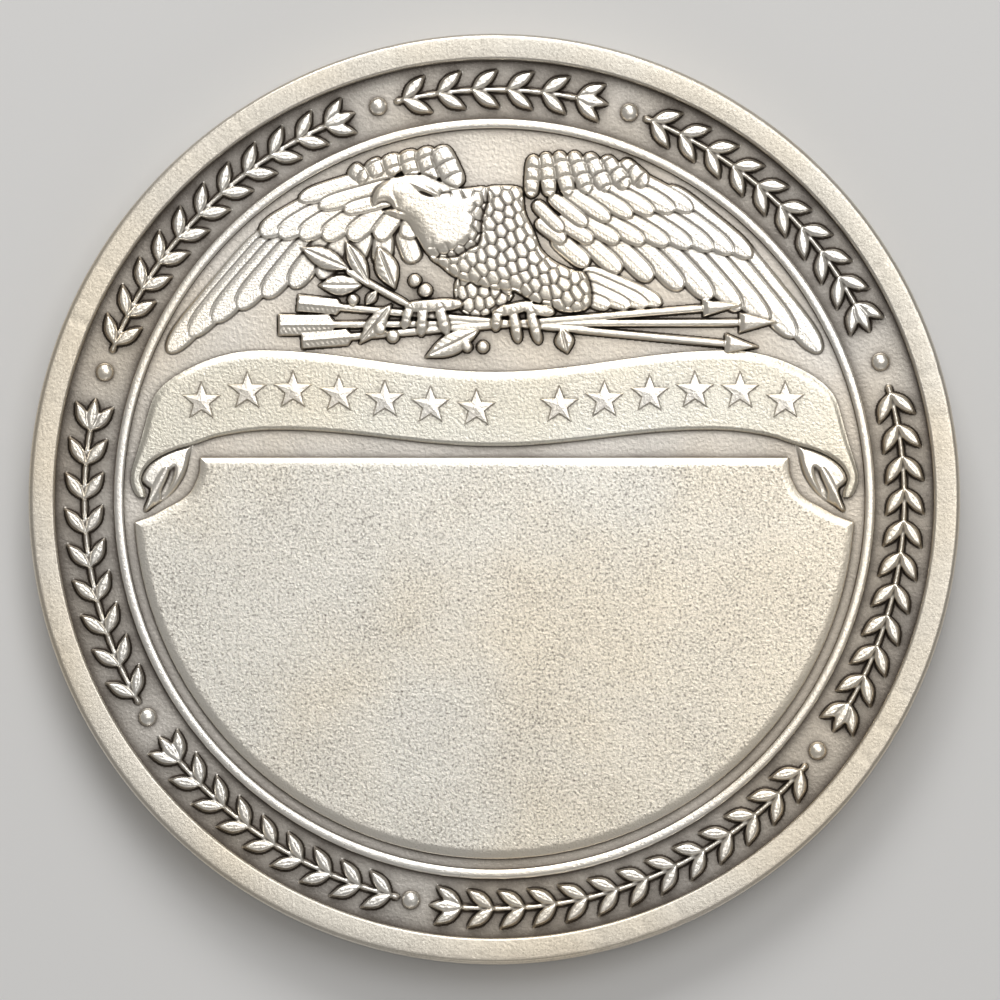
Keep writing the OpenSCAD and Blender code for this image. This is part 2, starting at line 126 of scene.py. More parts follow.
@dataclass(frozen=True)
class Blade:
    """A feather, leaf, toe or shaft drawn from its root to its tip.

    A fullness of 1 gives a leaf with two points; a higher one gives round ends.
    """

    root: Point
    tip: Point
    width: float
    fullness: float = 1.0

    @property
    def length(self) -> float:
        """Distance from root to tip."""
        return math.dist(self.root, self.tip)

    def half(self, u: Grid) -> Grid:
        """Half width at the share u of the length."""
        u = np.clip(u, 0.0, 1.0)
        if self.fullness > 1.0:
            return 0.5 * self.width * np.sqrt(1.0 - np.abs(2.0 * u - 1.0) ** self.fullness)
        return 0.5 * self.width * np.sin(math.pi * u)

    def box(self, margin: float) -> tuple[Point, Point]:
        """Lowest and highest corners of the blade's surroundings."""
        reach = 0.5 * self.width + margin
        xs, ys = (self.root[0], self.tip[0]), (self.root[1], self.tip[1])
        return (min(xs) - reach, min(ys) - reach), (max(xs) + reach, max(ys) + reach)

    def local(self, x: Grid, y: Grid) -> tuple[Grid, Grid, Grid]:
        """Coordinates in the blade.

        Args:
            x: Plan x of the samples.
            y: Plan y of the samples.

        Returns:
            Distance along, distance across, and signed distance inside the outline.
        """
        dx, dy = ((self.tip[k] - self.root[k]) / self.length for k in (0, 1))
        along = (x - self.root[0]) * dx + (y - self.root[1]) * dy
        across = (y - self.root[1]) * dx - (x - self.root[0]) * dy
        u = along / self.length
        half = self.half(u)
        slope = (self.half(u + 0.01) - self.half(u - 0.01)) / (0.02 * self.length)
        inside = (half - np.abs(across)) / np.sqrt(1.0 + slope ** 2)
        return along, across, np.minimum(inside, np.minimum(along, self.length - along) + 0.02)


class Outline:
    """Closed plan loops of a node's highest or lowest face."""

    def __init__(self, node: bpy.types.Object, top: bool = True) -> None:
        """Reads the loops.

        Args:
            node: CAD node with a flat upper or lower face.
            top: Whether the highest face is read, instead of the lowest.
        """
        mesh = node.data
        co = np.array([v.co for v in mesh.vertices], float).reshape(-1, 3) / MM
        self.level = float(co[:, 2].max() if top else co[:, 2].min())
        _, weld = np.unique(np.round(co, 4), axis=0, return_inverse=True)
        weld = weld.ravel()
        place = {int(w): co[i, :2] for i, w in enumerate(weld)}
        edges: set[tuple[int, int]] = set()
        for face in mesh.polygons:
            loop = [int(weld[i]) for i in face.vertices]
            if all(abs(co[i, 2] - self.level) < 1e-3 for i in face.vertices):
                edges.update(zip(loop, loop[1:] + loop[:1]))
        follow = {p: q for p, q in edges if (q, p) not in edges}
        self.loops: list[np.ndarray] = []
        while follow:
            first = at = next(iter(follow))
            loop = []
            while at in follow:
                loop.append(place[at])
                at = follow.pop(at)
            if at == first and len(loop) > 2:
                points = np.array(loop)
                self.loops.append(points if top else points[::-1])
        self.start = np.concatenate(self.loops)
        self.end = np.concatenate([np.roll(p, -1, axis=0) for p in self.loops])

    @property
    def box(self) -> tuple[Point, Point]:
        """Lowest and highest corners."""
        return tuple(self.start.min(axis=0)), tuple(self.start.max(axis=0))

    @property
    def longest(self) -> np.ndarray:
        """Points of the loop with the most points, anticlockwise."""
        return max(self.loops, key=len)

    def chain(self, start: Point, end: Point) -> np.ndarray:
        """Points of the longest loop from the one nearest start on to the one nearest end."""
        loop = self.longest
        first, last = (int(np.argmin(np.hypot(*(loop - p).T))) for p in (start, end))
        return loop[np.arange(first, last + 1 if last > first else last + 1 + len(loop)) % len(loop)]

    def distance(self, x: Grid, y: Grid) -> Grid:
        """Signed distance to the outline, positive inside it."""
        best, odd = np.full(x.shape, 1e9), np.zeros(x.shape, bool)
        for (ax, ay), (bx, by) in zip(self.start, self.end):
            ex, ey = bx - ax, by - ay
            t = np.clip(((x - ax) * ex + (y - ay) * ey) / max(ex * ex + ey * ey, 1e-12), 0.0, 1.0)
            best = np.minimum(best, (x - ax - t * ex) ** 2 + (y - ay - t * ey) ** 2)
            if ay != by:
                odd ^= ((ay > y) != (by > y)) & (x < ax + (y - ay) * ex / (by - ay))
        return np.where(odd, 1.0, -1.0) * np.sqrt(best)


# ---------------------------------------------------------------------------
# Meshes
# ---------------------------------------------------------------------------

def make_piece(name: str, points: np.ndarray, faces: Iterable[np.ndarray],
               crease: float = 40.0) -> bpy.types.Object:
    """Makes a mesh object.

    Args:
        name: Name of the piece.
        points: Vertices in millimetres, one row each.
        faces: Arrays of vertex numbers, each with one face per row.
        crease: Angle in degrees above which an edge stays sharp.

    Returns:
        The object, linked to the scene.
    """
    faces = [np.asarray(f, np.int32) for f in faces if len(f)]
    mesh = bpy.data.meshes.new(name)
    mesh.vertices.add(len(points))
    mesh.vertices.foreach_set("co", (np.asarray(points, float) * MM).astype(np.float32).ravel())
    sizes = np.concatenate([np.full(len(f), f.shape[1]) for f in faces])
    mesh.loops.add(int(sizes.sum()))
    mesh.loops.foreach_set("vertex_index", np.concatenate([f.ravel() for f in faces]))
    mesh.polygons.add(len(sizes))
    mesh.polygons.foreach_set("loop_start", np.concatenate([[0], np.cumsum(sizes)[:-1]]).astype(np.int32))
    mesh.update(calc_edges=True)
    mesh.validate()
    mesh.polygons.foreach_set("use_smooth", np.ones(len(mesh.polygons), bool))
    mesh.set_sharp_from_angle(angle=math.radians(crease))
    piece = bpy.data.objects.new(name, mesh)
    bpy.context.scene.collection.objects.link(piece)
    return piece


def ring_faces(rings: int, count: int, closed: bool) -> np.ndarray:
    """Quads between successive rings of count vertices, and back to the first ring if closed."""
    i = np.arange(rings if closed else rings - 1)[:, None]
    j = np.arange(count)[None, :]
    a, b = i * count + j, i * count + (j + 1) % count
    c, d = (i + 1) % rings * count + (j + 1) % count, (i + 1) % rings * count + j
    return np.stack([a, b, c, d], axis=-1).reshape(-1, 4)


def revolve(name: str, profile: Sequence[Point], count: int, crease: float = 40.0,
            waver: Callable[[Grid, Grid], tuple[Grid, Grid]] | None = None) -> bpy.types.Object:
    """Turns a closed profile about the coin's axis.

    Args:
        name: Name of the piece.
        profile: Closed loop of (radius, height), anticlockwise with the radius to the right.
        count: Steps round the axis.
        crease: Angle in degrees above which an edge stays sharp.
        waver: Gives small offsets of radius and height from the angle and the profile's place.

    Returns:
        The piece.
    """
    p = np.array(profile)
    turn = np.linspace(0.0, 2 * math.pi, count, endpoint=False)[None, :]
    place = np.arange(len(p))[:, None] + 0.0 * turn
    r, z = p[:, 0:1] + 0.0 * turn, p[:, 1:2] + 0.0 * turn
    if waver is not None:
        dr, dz = waver(turn + 0.0 * r, place)
        r, z = r + dr, z + dz
    points = np.stack([r * np.cos(turn), r * np.sin(turn), z], axis=-1).reshape(-1, 3)
    return make_piece(name, points, [ring_faces(len(p), count, True)[:, ::-1]], crease)


def arc(centre: Point, radius: float, start: float, end: float, steps: int) -> list[Point]:
    """Points on an arc, angles in degrees anticlockwise from +X."""
    return [(centre[0] + radius * math.cos(math.radians(start + (end - start) * i / steps)),
             centre[1] + radius * math.sin(math.radians(start + (end - start) * i / steps)))
            for i in range(steps + 1)]


def loft(name: str, loops: Sequence[np.ndarray], crease: float = 30.0) -> bpy.types.Object:
    """Joins loops of equal length from bottom to top and caps both ends."""
    count = len(loops[0])
    sides = ring_faces(len(loops), count, False)
    bottom = np.arange(count)[::-1][None, :]
    top = (np.arange(count) + (len(loops) - 1) * count)[None, :]
    return make_piece(name, np.concatenate(loops), [sides, bottom, top], crease)


def weld(piece: bpy.types.Object, distance: float = 2e-6) -> bpy.types.Object:
    """Merges a piece's coincident vertices and returns the piece."""
    mesh = bmesh.new()
    mesh.from_mesh(piece.data)
    bmesh.ops.remove_doubles(mesh, verts=mesh.verts, dist=distance)
    mesh.to_mesh(piece.data)
    mesh.free()
    return piece


# ---------------------------------------------------------------------------
# Die: a height map that devices are sunk into
# ---------------------------------------------------------------------------

class Die:
    """Height map above a flat field, with the device that owns each sample."""

    SKIRT = 2
    LIFT = 0.004

    def __init__(self, low: Point, high: Point, step: float) -> None:
        """Opens a blank map over a window.

        Args:
            low: Lowest corner of the window.
            high: Highest corner of the window.
            step: Distance between samples.
        """
        self.step = step
        self.x, self.y = np.meshgrid(np.arange(low[0], high[0], step), np.arange(low[1], high[1], step))
        self.height = np.zeros_like(self.x)
        self.owner = np.zeros(self.x.shape, np.int16)
        self.names: list[str] = [""]

    def near(self, low: Point, high: Point) -> tuple[slice, slice]:
        """Part of the map that covers a box."""
        i0, i1 = np.searchsorted(self.x[0], (low[0], high[0]))
        j0, j1 = np.searchsorted(self.y[:, 0], (low[1], high[1]))
        return slice(j0, j1), slice(i0, i1)

    def lay(self, name: str, where: tuple[slice, slice], height: Grid, inside: Grid,
            soft: float = 1.0) -> None:
        """Lays a device over what is there.

        Args:
            name: Device that owns the samples.
            where: Part of the map.
            height: Heights above the field.
            inside: Signed distance inside the device's outline.
            soft: Width of its wall in samples.
        """
        if name not in self.names:
            self.names.append(name)
        cover = smooth(-0.5 * soft * self.step, 0.5 * soft * self.step, inside)
        part = self.height[where]
        part += (height - part) * cover
        self.owner[where][cover > 0.5] = self.names.index(name)

    def lay_blade(self, name: str, blade: Blade, skin: Callable[[Blade, Grid, Grid], Grid],
                  soft: float = 1.6) -> None:
        """Lays a blade with the surface that skin gives from the distances along and across it."""
        where = self.near(*blade.box(0.1))
        along, across, inside = blade.local(self.x[where], self.y[where])
        self.lay(name, where, skin(blade, along, across), inside, soft)

    def lay_outline(self, name: str, outline: Outline, skin: Callable[[Grid, Grid, Grid], Grid],
                    soft: float = 1.6) -> None:
        """Lays an outlined device with the surface that skin gives from x, y and the distance inside."""
        where = self.near(*(tuple(np.array(c) + s * 0.15) for c, s in zip(outline.box, (-1, 1))))
        x, y = self.x[where], self.y[where]
        inside = outline.distance(x, y)
        self.lay(name, where, skin(x, y, inside), inside, soft)

    def owners_by_cell(self) -> Grid:
        """Device of each cell: the topmost of its corners, widened over the bare field by a skirt."""
        o = self.owner
        cell = np.maximum(np.maximum(o[:-1, :-1], o[1:, :-1]), np.maximum(o[:-1, 1:], o[1:, 1:]))
        for _ in range(self.SKIRT):
            wide = np.pad(cell, 1)
            around = np.max([wide[1:-1, :-2], wide[1:-1, 2:], wide[:-2, 1:-1], wide[2:, 1:-1]], axis=0)
            cell = np.where(cell == 0, around, cell)
        for _ in range(4):
            for flip in (False, True):
                view = cell[:, ::-1] if flip else cell
                a, b, c, d = view[:-1, :-1], view[:-1, 1:], view[1:, :-1], view[1:, 1:]
                touch = (a == d) & (b != a) & (c != a)
                b[touch] = a[touch]
        return cell

    def strike(self, suffix: str, base: float, facing: int = 1,
               polish: float = 0.8) -> list[bpy.types.Object]:
        """Strikes every device out of the map as a closed mesh.

        Args:
            suffix: Added to each device's name.
            base: Height of the field in the frame.
            facing: 1 for devices that rise from the field, -1 for devices that hang below it.
            polish: Blur in samples that rounds the steps.

        Returns:
            The pieces, named after their devices.
        """
        height = blurred(self.height, polish)
        hollow = np.clip((blurred(height, 0.10 / self.step) - height) / 0.05, -1.0, 1.0)
        hollow += np.clip((blurred(height, 0.3 / self.step) - height) / 0.16, -1.0, 1.0)
        cell = self.owners_by_cell()
        columns = self.x.shape[1]
        pieces = []
        for index, name in enumerate(self.names[1:], start=1):
            j, i = np.nonzero(cell == index)
            if not len(j):
                continue
            a = j * columns + i
            quads = np.stack([a, a + 1, a + columns + 1, a + columns], axis=1)
            used, local = np.unique(quads, return_inverse=True)
            quads = local.reshape(-1, 4)
            count = len(used)
            edges = np.concatenate([quads[:, [k, (k + 1) % 4]] for k in range(4)])
            ahead, back = edges[:, 0] * count + edges[:, 1], edges[:, 1] * count + edges[:, 0]
            rim = edges[~np.isin(ahead, back)]
            walls = np.stack([rim[:, 1], rim[:, 0], rim[:, 0] + count, rim[:, 1] + count], axis=1)
            x, y, z = (g.ravel()[used] for g in (self.x, self.y, height))
            top = np.stack([x, y, base + facing * (np.maximum(z, 0.0) + self.LIFT)], axis=1)
            bottom = np.stack([x, y, np.full(count, base)], axis=1)
            faces = [quads, walls, quads[:, ::-1] + count]
            if facing < 0:
                faces = [f[:, ::-1] for f in faces]
            piece = make_piece(name + suffix, np.concatenate([top, bottom]), faces, 72.0)
            shade = piece.data.attributes.new("hollow", "FLOAT", "POINT")
            values = np.tile(hollow.ravel()[used], 2)
            shade.data.foreach_set("value", values.astype(np.float32))
            pieces.append(piece)
        return pieces


# ---------------------------------------------------------------------------
# Skins: surfaces of feathers, leaves and the like
# ---------------------------------------------------------------------------

@dataclass(frozen=True)
class FeatherSkin:
    """Feather with a quill and slanted barbs, rising from its root to its tip."""

    level: float
    step: float = 0.10
    rise: float = 0.04
    barb_pitch: float = 0.2
    barb_depth: float = 0.004
    quill: float = 0.008
    brick: float = 0.0

    def __call__(self, blade: Blade, along: Grid, across: Grid) -> Grid:
        """Heights from the distances along and across the feather."""
        v = np.abs(across) / np.maximum(blade.half(along / blade.length), 0.02)
        crown = 1.0 - np.clip(v, 0.0, 1.0) ** 7
        if self.brick > 0.0:
            brick = self.brick * (1.0 + 0.18 * math.sin(23.0 * blade.root[0]))
            shift = 0.5 * brick * (math.sin(37.0 * blade.root[0]) + 1.0)
            part = np.abs(np.mod((along + shift - 0.12 * v * v) / brick, 1.0) - 0.5) * 2.0
            crown = (1.0 - np.clip(v, 0.0, 1.0) ** 4) * (1.0 - part ** 5)
        z = self.level - self.step - self.rise * (1.0 - along / blade.length) + self.step * crown
        slant = (along - 1.1 * np.abs(across)) * 2 * math.pi / self.barb_pitch
        z += self.barb_depth * np.sin(slant) * (1.0 - bell(across, 0.07))
        return z + self.quill * bell(across, 0.055)


@dataclass(frozen=True)
class LeafSkin:
    """Leaf with a roof-shaped section, a midrib and side veins."""

    level: float
    edge: float = 0.55
    midrib: float = 0.03
    vein_pitch: float = 0.34
    vein_depth: float = 0.010

    def __call__(self, blade: Blade, along: Grid, across: Grid) -> Grid:
        """Heights from the distances along and across the leaf."""
        v = np.clip(np.abs(across) / np.maximum(blade.half(along / blade.length), 0.02), 0.0, 1.0)
        z = self.level * (self.edge + (1.0 - self.edge) * np.sqrt(1.0 - 0.96 * v * v))
        slant = (along - 0.9 * np.abs(across)) * 2 * math.pi / self.vein_pitch
        z -= self.vein_depth * (0.5 + 0.5 * np.cos(slant)) * smooth(0.03, 0.12, np.abs(across))
        return z - self.midrib * bell(across, 0.05)


@dataclass(frozen=True)
class ToeSkin:
    """Toe with a round section and cross scutes, ending in a smooth claw."""

    level: float
    depth: float = 0.06

    def __call__(self, blade: Blade, along: Grid, across: Grid) -> Grid:
        """Heights from the distances along and across the toe."""
        u = along / blade.length
        v = np.clip(np.abs(across) / np.maximum(blade.half(u), 0.02), 0.0, 1.0)
        z = self.level - self.depth * (1.0 - np.sqrt(1.0 - 0.97 * v * v)) - 0.08 * smooth(0.6, 1.0, u)
        return z - 0.03 * bell(np.abs(np.mod(u, 0.42) - 0.21), 0.05) * (1.0 - smooth(0.5, 0.8, u))


@dataclass(frozen=True)
class RodSkin:
    """Stem or shaft with a round section."""

    level: float
    depth: float = 0.04

    def __call__(self, blade: Blade, along: Grid, across: Grid) -> Grid:
        """Heights from the distances along and across the rod."""
        v = np.clip(2.0 * np.abs(across) / blade.width, 0.0, 1.0)
        return self.level - self.depth * (1.0 - np.sqrt(1.0 - 0.95 * v * v)) + 0.0 * along


@dataclass(frozen=True)
class Pebbles:
    """Small round feathers in offset rows, each standing clear of its neighbours."""

    length: float
    width: float
    turn: float
    depth: float
    seed: int = 3

    def __call__(self, x: Grid, y: Grid) -> Grid:
        """Height of the pebbles, from 0 in the gaps to the depth on their crowns."""
        c, s = math.cos(math.radians(self.turn)), math.sin(math.radians(self.turn))
        u, v = (c * x + s * y) / self.length, (c * y - s * x) / self.width
        rng = np.random.default_rng(self.seed)
        jitter = rng.uniform(-0.17, 0.17, (64, 64, 2))
        first, second = np.full(x.shape, 9.0), np.full(x.shape, 9.0)
        row = np.round(u).astype(int)
        for dr in (-1, 0, 1):
            r = row + dr
            column = np.round(v - 0.5 * (r % 2)).astype(int)
            for dc in (-1, 0, 1):
                q = column + dc
                shift = jitter[r % 64, q % 64]
                far = np.hypot(u - r - shift[..., 0], v - q - 0.5 * (r % 2) - shift[..., 1])
                second = np.minimum(second, np.maximum(first, far))
                first = np.minimum(first, far)
        return self.depth * smooth(0.0, 0.19, second - first) * (1.0 - 0.2 * np.clip(first, 0.0, 1.0) ** 2)


# ---------------------------------------------------------------------------
# Shader expressions
# ---------------------------------------------------------------------------

class Graph:
    """Node tree of one material."""

    def __init__(self, name: str) -> None:
        """Opens an empty material."""
        self.material = bpy.data.materials.new(name)
        self.material.use_nodes = True
        self.tree = self.material.node_tree
        self.tree.nodes.clear()

    def node(self, kind: str, settings: dict[str, object] | None = None,
             sockets: dict[str | int, object] | None = None) -> bpy.types.Node:
        """Adds a node.

        Args:
            kind: Node type.
            settings: Properties set before the sockets; "stops" holds a ramp's (place, colour) pairs.
            sockets: Values or links by socket name or number.

        Returns:
            The node.
        """
        made = self.tree.nodes.new(kind)
        for key, value in (settings or {}).items():
            if key == "stops":
                ramp = made.color_ramp.elements
                while len(ramp) < len(value):
                    ramp.new(0.5)
                for stop, (place, colour) in zip(ramp, value):
                    stop.position, stop.color = place, (*colour, 1.0)
            else:
                setattr(made, key, value)
        for key, value in (sockets or {}).items():
            socket = made.inputs[key]
            if isinstance(value, Wire):
                self.tree.links.new(value.socket, socket)
            elif isinstance(value, tuple) and len(value) == 3 and socket.type == "RGBA":
                socket.default_value = (*value, 1.0)
            else:
                socket.default_value = value
        return made

    def wire(self, kind: str, settings: dict[str, object] | None = None,
             sockets: dict[str | int, object] | None = None, out: str | int = 0) -> Wire:
        """Adds a node and returns one of its outputs."""
        return Wire(self, self.node(kind, settings, sockets).outputs[out])

    def mix(self, low: object, high: object, share: object) -> Wire:
        """Colour between low and high."""
        return self.wire("ShaderNodeMix", {"data_type": "RGBA"}, {0: share, 6: low, 7: high}, out=2)

    def position(self) -> Wire:
        """Place on the object in metres."""
        return self.wire("ShaderNodeTexCoord", out="Object")

    def scaled(self, place: Wire, by: tuple[float, float, float], turn: float = 0.0) -> Wire:
        """Place turned about Z and scaled per axis."""
        return self.wire("ShaderNodeMapping", None,
                         {"Vector": place, "Rotation": (0.0, 0.0, turn), "Scale": by})

    def noise(self, place: Wire, scale: float, detail: float = 3.0, rough: float = 0.55) -> Wire:
        """Fractal noise from 0 to 1, with scale in cells per metre."""
        return self.wire("ShaderNodeTexNoise", {"noise_dimensions": "3D"},
                         {"Vector": place, "Scale": scale, "Detail": detail, "Roughness": rough})


class Wire:
    """A shader value that can stand in a Python expression."""

    def __init__(self, graph: Graph, socket: bpy.types.NodeSocket) -> None:
        """Wraps an output socket."""
        self.graph = graph
        self.socket = socket

    def _math(self, operation: str, *values: object, clamp: bool = False) -> Wire:
        """Adds a Math node on the given values."""
        return self.graph.wire("ShaderNodeMath", {"operation": operation, "use_clamp": clamp},
                               dict(enumerate(values)))

    def __add__(self, other: object) -> Wire:
        """Sum."""
        return self._math("ADD", self, other)

    __radd__ = __add__

    def __sub__(self, other: object) -> Wire:
        """Difference."""
        return self._math("SUBTRACT", self, other)

    def __rsub__(self, other: object) -> Wire:
        """Difference from a number."""
        return self._math("SUBTRACT", other, self)

    def __mul__(self, other: object) -> Wire:
        """Product."""
        return self._math("MULTIPLY", self, other)

    __rmul__ = __mul__

    def __pow__(self, other: object) -> Wire:
        """Power."""
        return self._math("POWER", self, other)

    def clamp(self) -> Wire:
        """Value held between 0 and 1."""
        return self._math("ADD", self, 0.0, clamp=True)

    def spread(self, low: float, high: float) -> Wire:
        """Value stretched so that low becomes 0 and high becomes 1, held between them."""
        return self.graph.wire("ShaderNodeMapRange", {"interpolation_type": "SMOOTHSTEP"},
                               {"Value": self, "From Min": low, "From Max": high})


class Grain(Enum):
    """How a struck surface was finished."""

    STRUCK = "struck"
    STIPPLED = "stippled"
    SATIN = "satin"
    POLISHED = "polished"


@dataclass(frozen=True)
class StruckBrass:
    """Antiqued brass: bright where it is rubbed, with a dark patina in its hollows, and lighter where a painted
    highlight is laid, as on the panel's chamfer.
    """

    name: str
    slot: str
    grain: Grain
    bright: tuple[float, float, float] = (0.93, 0.895, 0.83)
    patina: tuple[float, float, float] = (0.085, 0.070, 0.058)
    rough: float = 0.30
    patina_rough: float = 0.55
    ground: float = 0.0
    legend_ground: float = 0.0
    contact: float = 0.60
    mottle: float = 0.10
    reach: float = 0.00045

    def dress(self, *pieces: bpy.types.Object) -> None:
        """Puts the finish on pieces, making its material at the first call."""
        material = bpy.data.materials.get(self.name) or self._material()
        for piece in pieces:
            piece.data.materials.clear()
            piece.data.materials.append(material)

    def _material(self) -> bpy.types.Material:
        """Builds the node material."""
        g = Graph(self.name)
        place = g.position()
        cloud = g.noise(place, 260.0, 4.0)
        speck = g.noise(place, 8500.0, 2.0, 0.6)
        near = 1.0 - g.wire("ShaderNodeAmbientOcclusion", {"samples": 8, "only_local": False},
                            {"Distance": self.reach}, out="AO")
        # The hollow attribute darkens patina in hollows and lightens rubbed crests; on the panel's chamfer it
        # carries a painted highlight.
        hollow = g.wire("ShaderNodeAttribute", {"attribute_name": "hollow"}, out="Fac")
        flat = g.scaled(place, (1.0, 1.0, 0.0))
        radius = g.wire("ShaderNodeVectorMath", {"operation": "LENGTH"}, {0: flat}, out="Value")
        ground = radius.spread(0.0178, 0.0184) * self.legend_ground + self.ground
        dark = near * self.contact + hollow * 0.6 + ground + (cloud - 0.5) * 0.3 + (speck - 0.5) * self.mottle
        dark = dark.spread(0.02, 0.95)
        tint = g.mix(self.bright, tuple(c * k for c, k in zip(self.bright, (1.04, 0.985, 0.90))),
                     g.noise(place, 90.0, 2.0).spread(0.35, 0.7))
        colour = g.mix(tint, self.patina, dark)
        rough = dark * (self.patina_rough - self.rough) + self.rough + (speck - 0.5) * 0.12
        bump = self._relief(g, place, speck)
        shader = g.wire("ShaderNodeBsdfPrincipled", None,
                        {"Base Color": colour, "Metallic": 1.0, "Roughness": rough, "Normal": bump},
                        out="BSDF")
        g.node("ShaderNodeOutputMaterial", None, {"Surface": shader})
        return g.material

    def _relief(self, g: Graph, place: Wire, speck: Wire) -> Wire:
        """Fine relief of the finish.

        Args:
            g: Graph of the material.
            place: Place on the object.
            speck: Fine noise shared with the colour.

        Returns:
            The bumped normal.
        """
        peel = g.noise(place, 7000.0, 2.0, 0.6)
        if self.grain is Grain.STIPPLED:
            pits = g.wire("ShaderNodeTexVoronoi", {"feature": "F1"}, {"Vector": place, "Scale": 5200.0},
                          out="Distance")
            height, depth = pits * 0.5 + peel, 0.000013
        elif self.grain is Grain.SATIN:
            height, depth = peel + speck * 0.5, 0.000016
        elif self.grain is Grain.POLISHED:
            swirl = g.noise(g.scaled(place, (1.0, 0.12, 1.0), 0.4), 5200.0, 2.0, 0.6)
            height, depth = swirl * 0.4 + peel * 0.8, 0.000010
        else:
            height, depth = peel + speck * 0.5, 0.000012
        return g.wire("ShaderNodeBump", None, {"Strength": 1.0, "Distance": depth, "Height": height},
                      out="Normal")


@dataclass(frozen=True)
class Finishes:
    """The coin's finishes."""

    relief: StruckBrass = StruckBrass("antique_relief", "raised_brass", Grain.STRUCK)
    ribbon: StruckBrass = StruckBrass("ribbon_brass", "raised_brass", Grain.SATIN, bright=(0.78, 0.75, 0.665),
                                      rough=0.34, ground=0.10, mottle=1.0, contact=1.1)
    field: StruckBrass = StruckBrass("stippled_field", "field_brass", Grain.STIPPLED,
                                     bright=(0.82, 0.775, 0.71),
                                     rough=0.40, ground=0.20, legend_ground=0.13, contact=1.0, reach=0.0013)
    panel: StruckBrass = StruckBrass("satin_panel", "panel_brass", Grain.SATIN, bright=(0.84, 0.80, 0.72),
                                     rough=0.36, ground=0.18, mottle=1.9)
    rim: StruckBrass = StruckBrass("worn_rim", "rim_brass", Grain.POLISHED,
                                   bright=(0.70, 0.655, 0.575), rough=0.34,
                                   ground=0.10, mottle=0.9)


# ---------------------------------------------------------------------------
# The coin's own sizes, read off the frame
# ---------------------------------------------------------------------------

@dataclass(frozen=True)
class Sizes:
    """Radii and levels in millimetres."""

    radius: float
    thickness: float
    channel_r: float
    channel_z: float
    field_r: float
    field_z: float
    wire_r: float
    wire_top: float
    reverse_z: float
    reverse_h: float
    pearl_r: float
    art: float

    @classmethod
    def of_frame(cls, nodes: dict[str, bpy.types.Object]) -> Sizes:
        """Measures the CAD nodes."""
        rim, blank, wire = (np.array(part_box(n)) / MM for n in ("rim", "planchet", "wire_ring"))
        back = np.array(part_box("reverse_ring")) / MM
        ring = np.array([v.co for v in nodes["wire_ring"].data.vertices], float).reshape(-1, 3) / MM
        pearls = np.array(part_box("legend_pearls")) / MM
        inner = float(np.hypot(ring[:, 0], ring[:, 1]).min())
        return cls(radius=rim[1, 0], thickness=rim[1, 2], channel_r=blank[1, 0], channel_z=wire[0, 2],
                   field_r=inner, field_z=blank[1, 2], wire_r=wire[1, 0], wire_top=wire[1, 2],
                   reverse_z=back[1, 2], reverse_h=back[1, 2] - back[0, 2],
                   pearl_r=pearls[1, 2] - pearls[0, 2], art=inner / 17.72)


@dataclass
class Part:
    """What every sub-assembly shares: the frame, its sizes and the finishes."""

    nodes: dict[str, bpy.types.Object]
    sizes: Sizes
    finishes: Finishes

    def settle(self, piece: bpy.types.Object, finish: StruckBrass, *replaced: str) -> None:
        """Dresses a piece, fixes it to the coin and lets it stand for CAD nodes.

        Args:
            piece: New piece.
            finish: Its finish.
            replaced: CAD nodes that it stands for.
        """
        finish.dress(piece)
        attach(piece, "root")
        if replaced:
            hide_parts(*replaced)
        LOG.info("%s: %d faces, for %s", piece.name, len(piece.data.polygons),
                 ", ".join(replaced) or "nothing")


# ---------------------------------------------------------------------------
# Blank, rim and rings
# ---------------------------------------------------------------------------

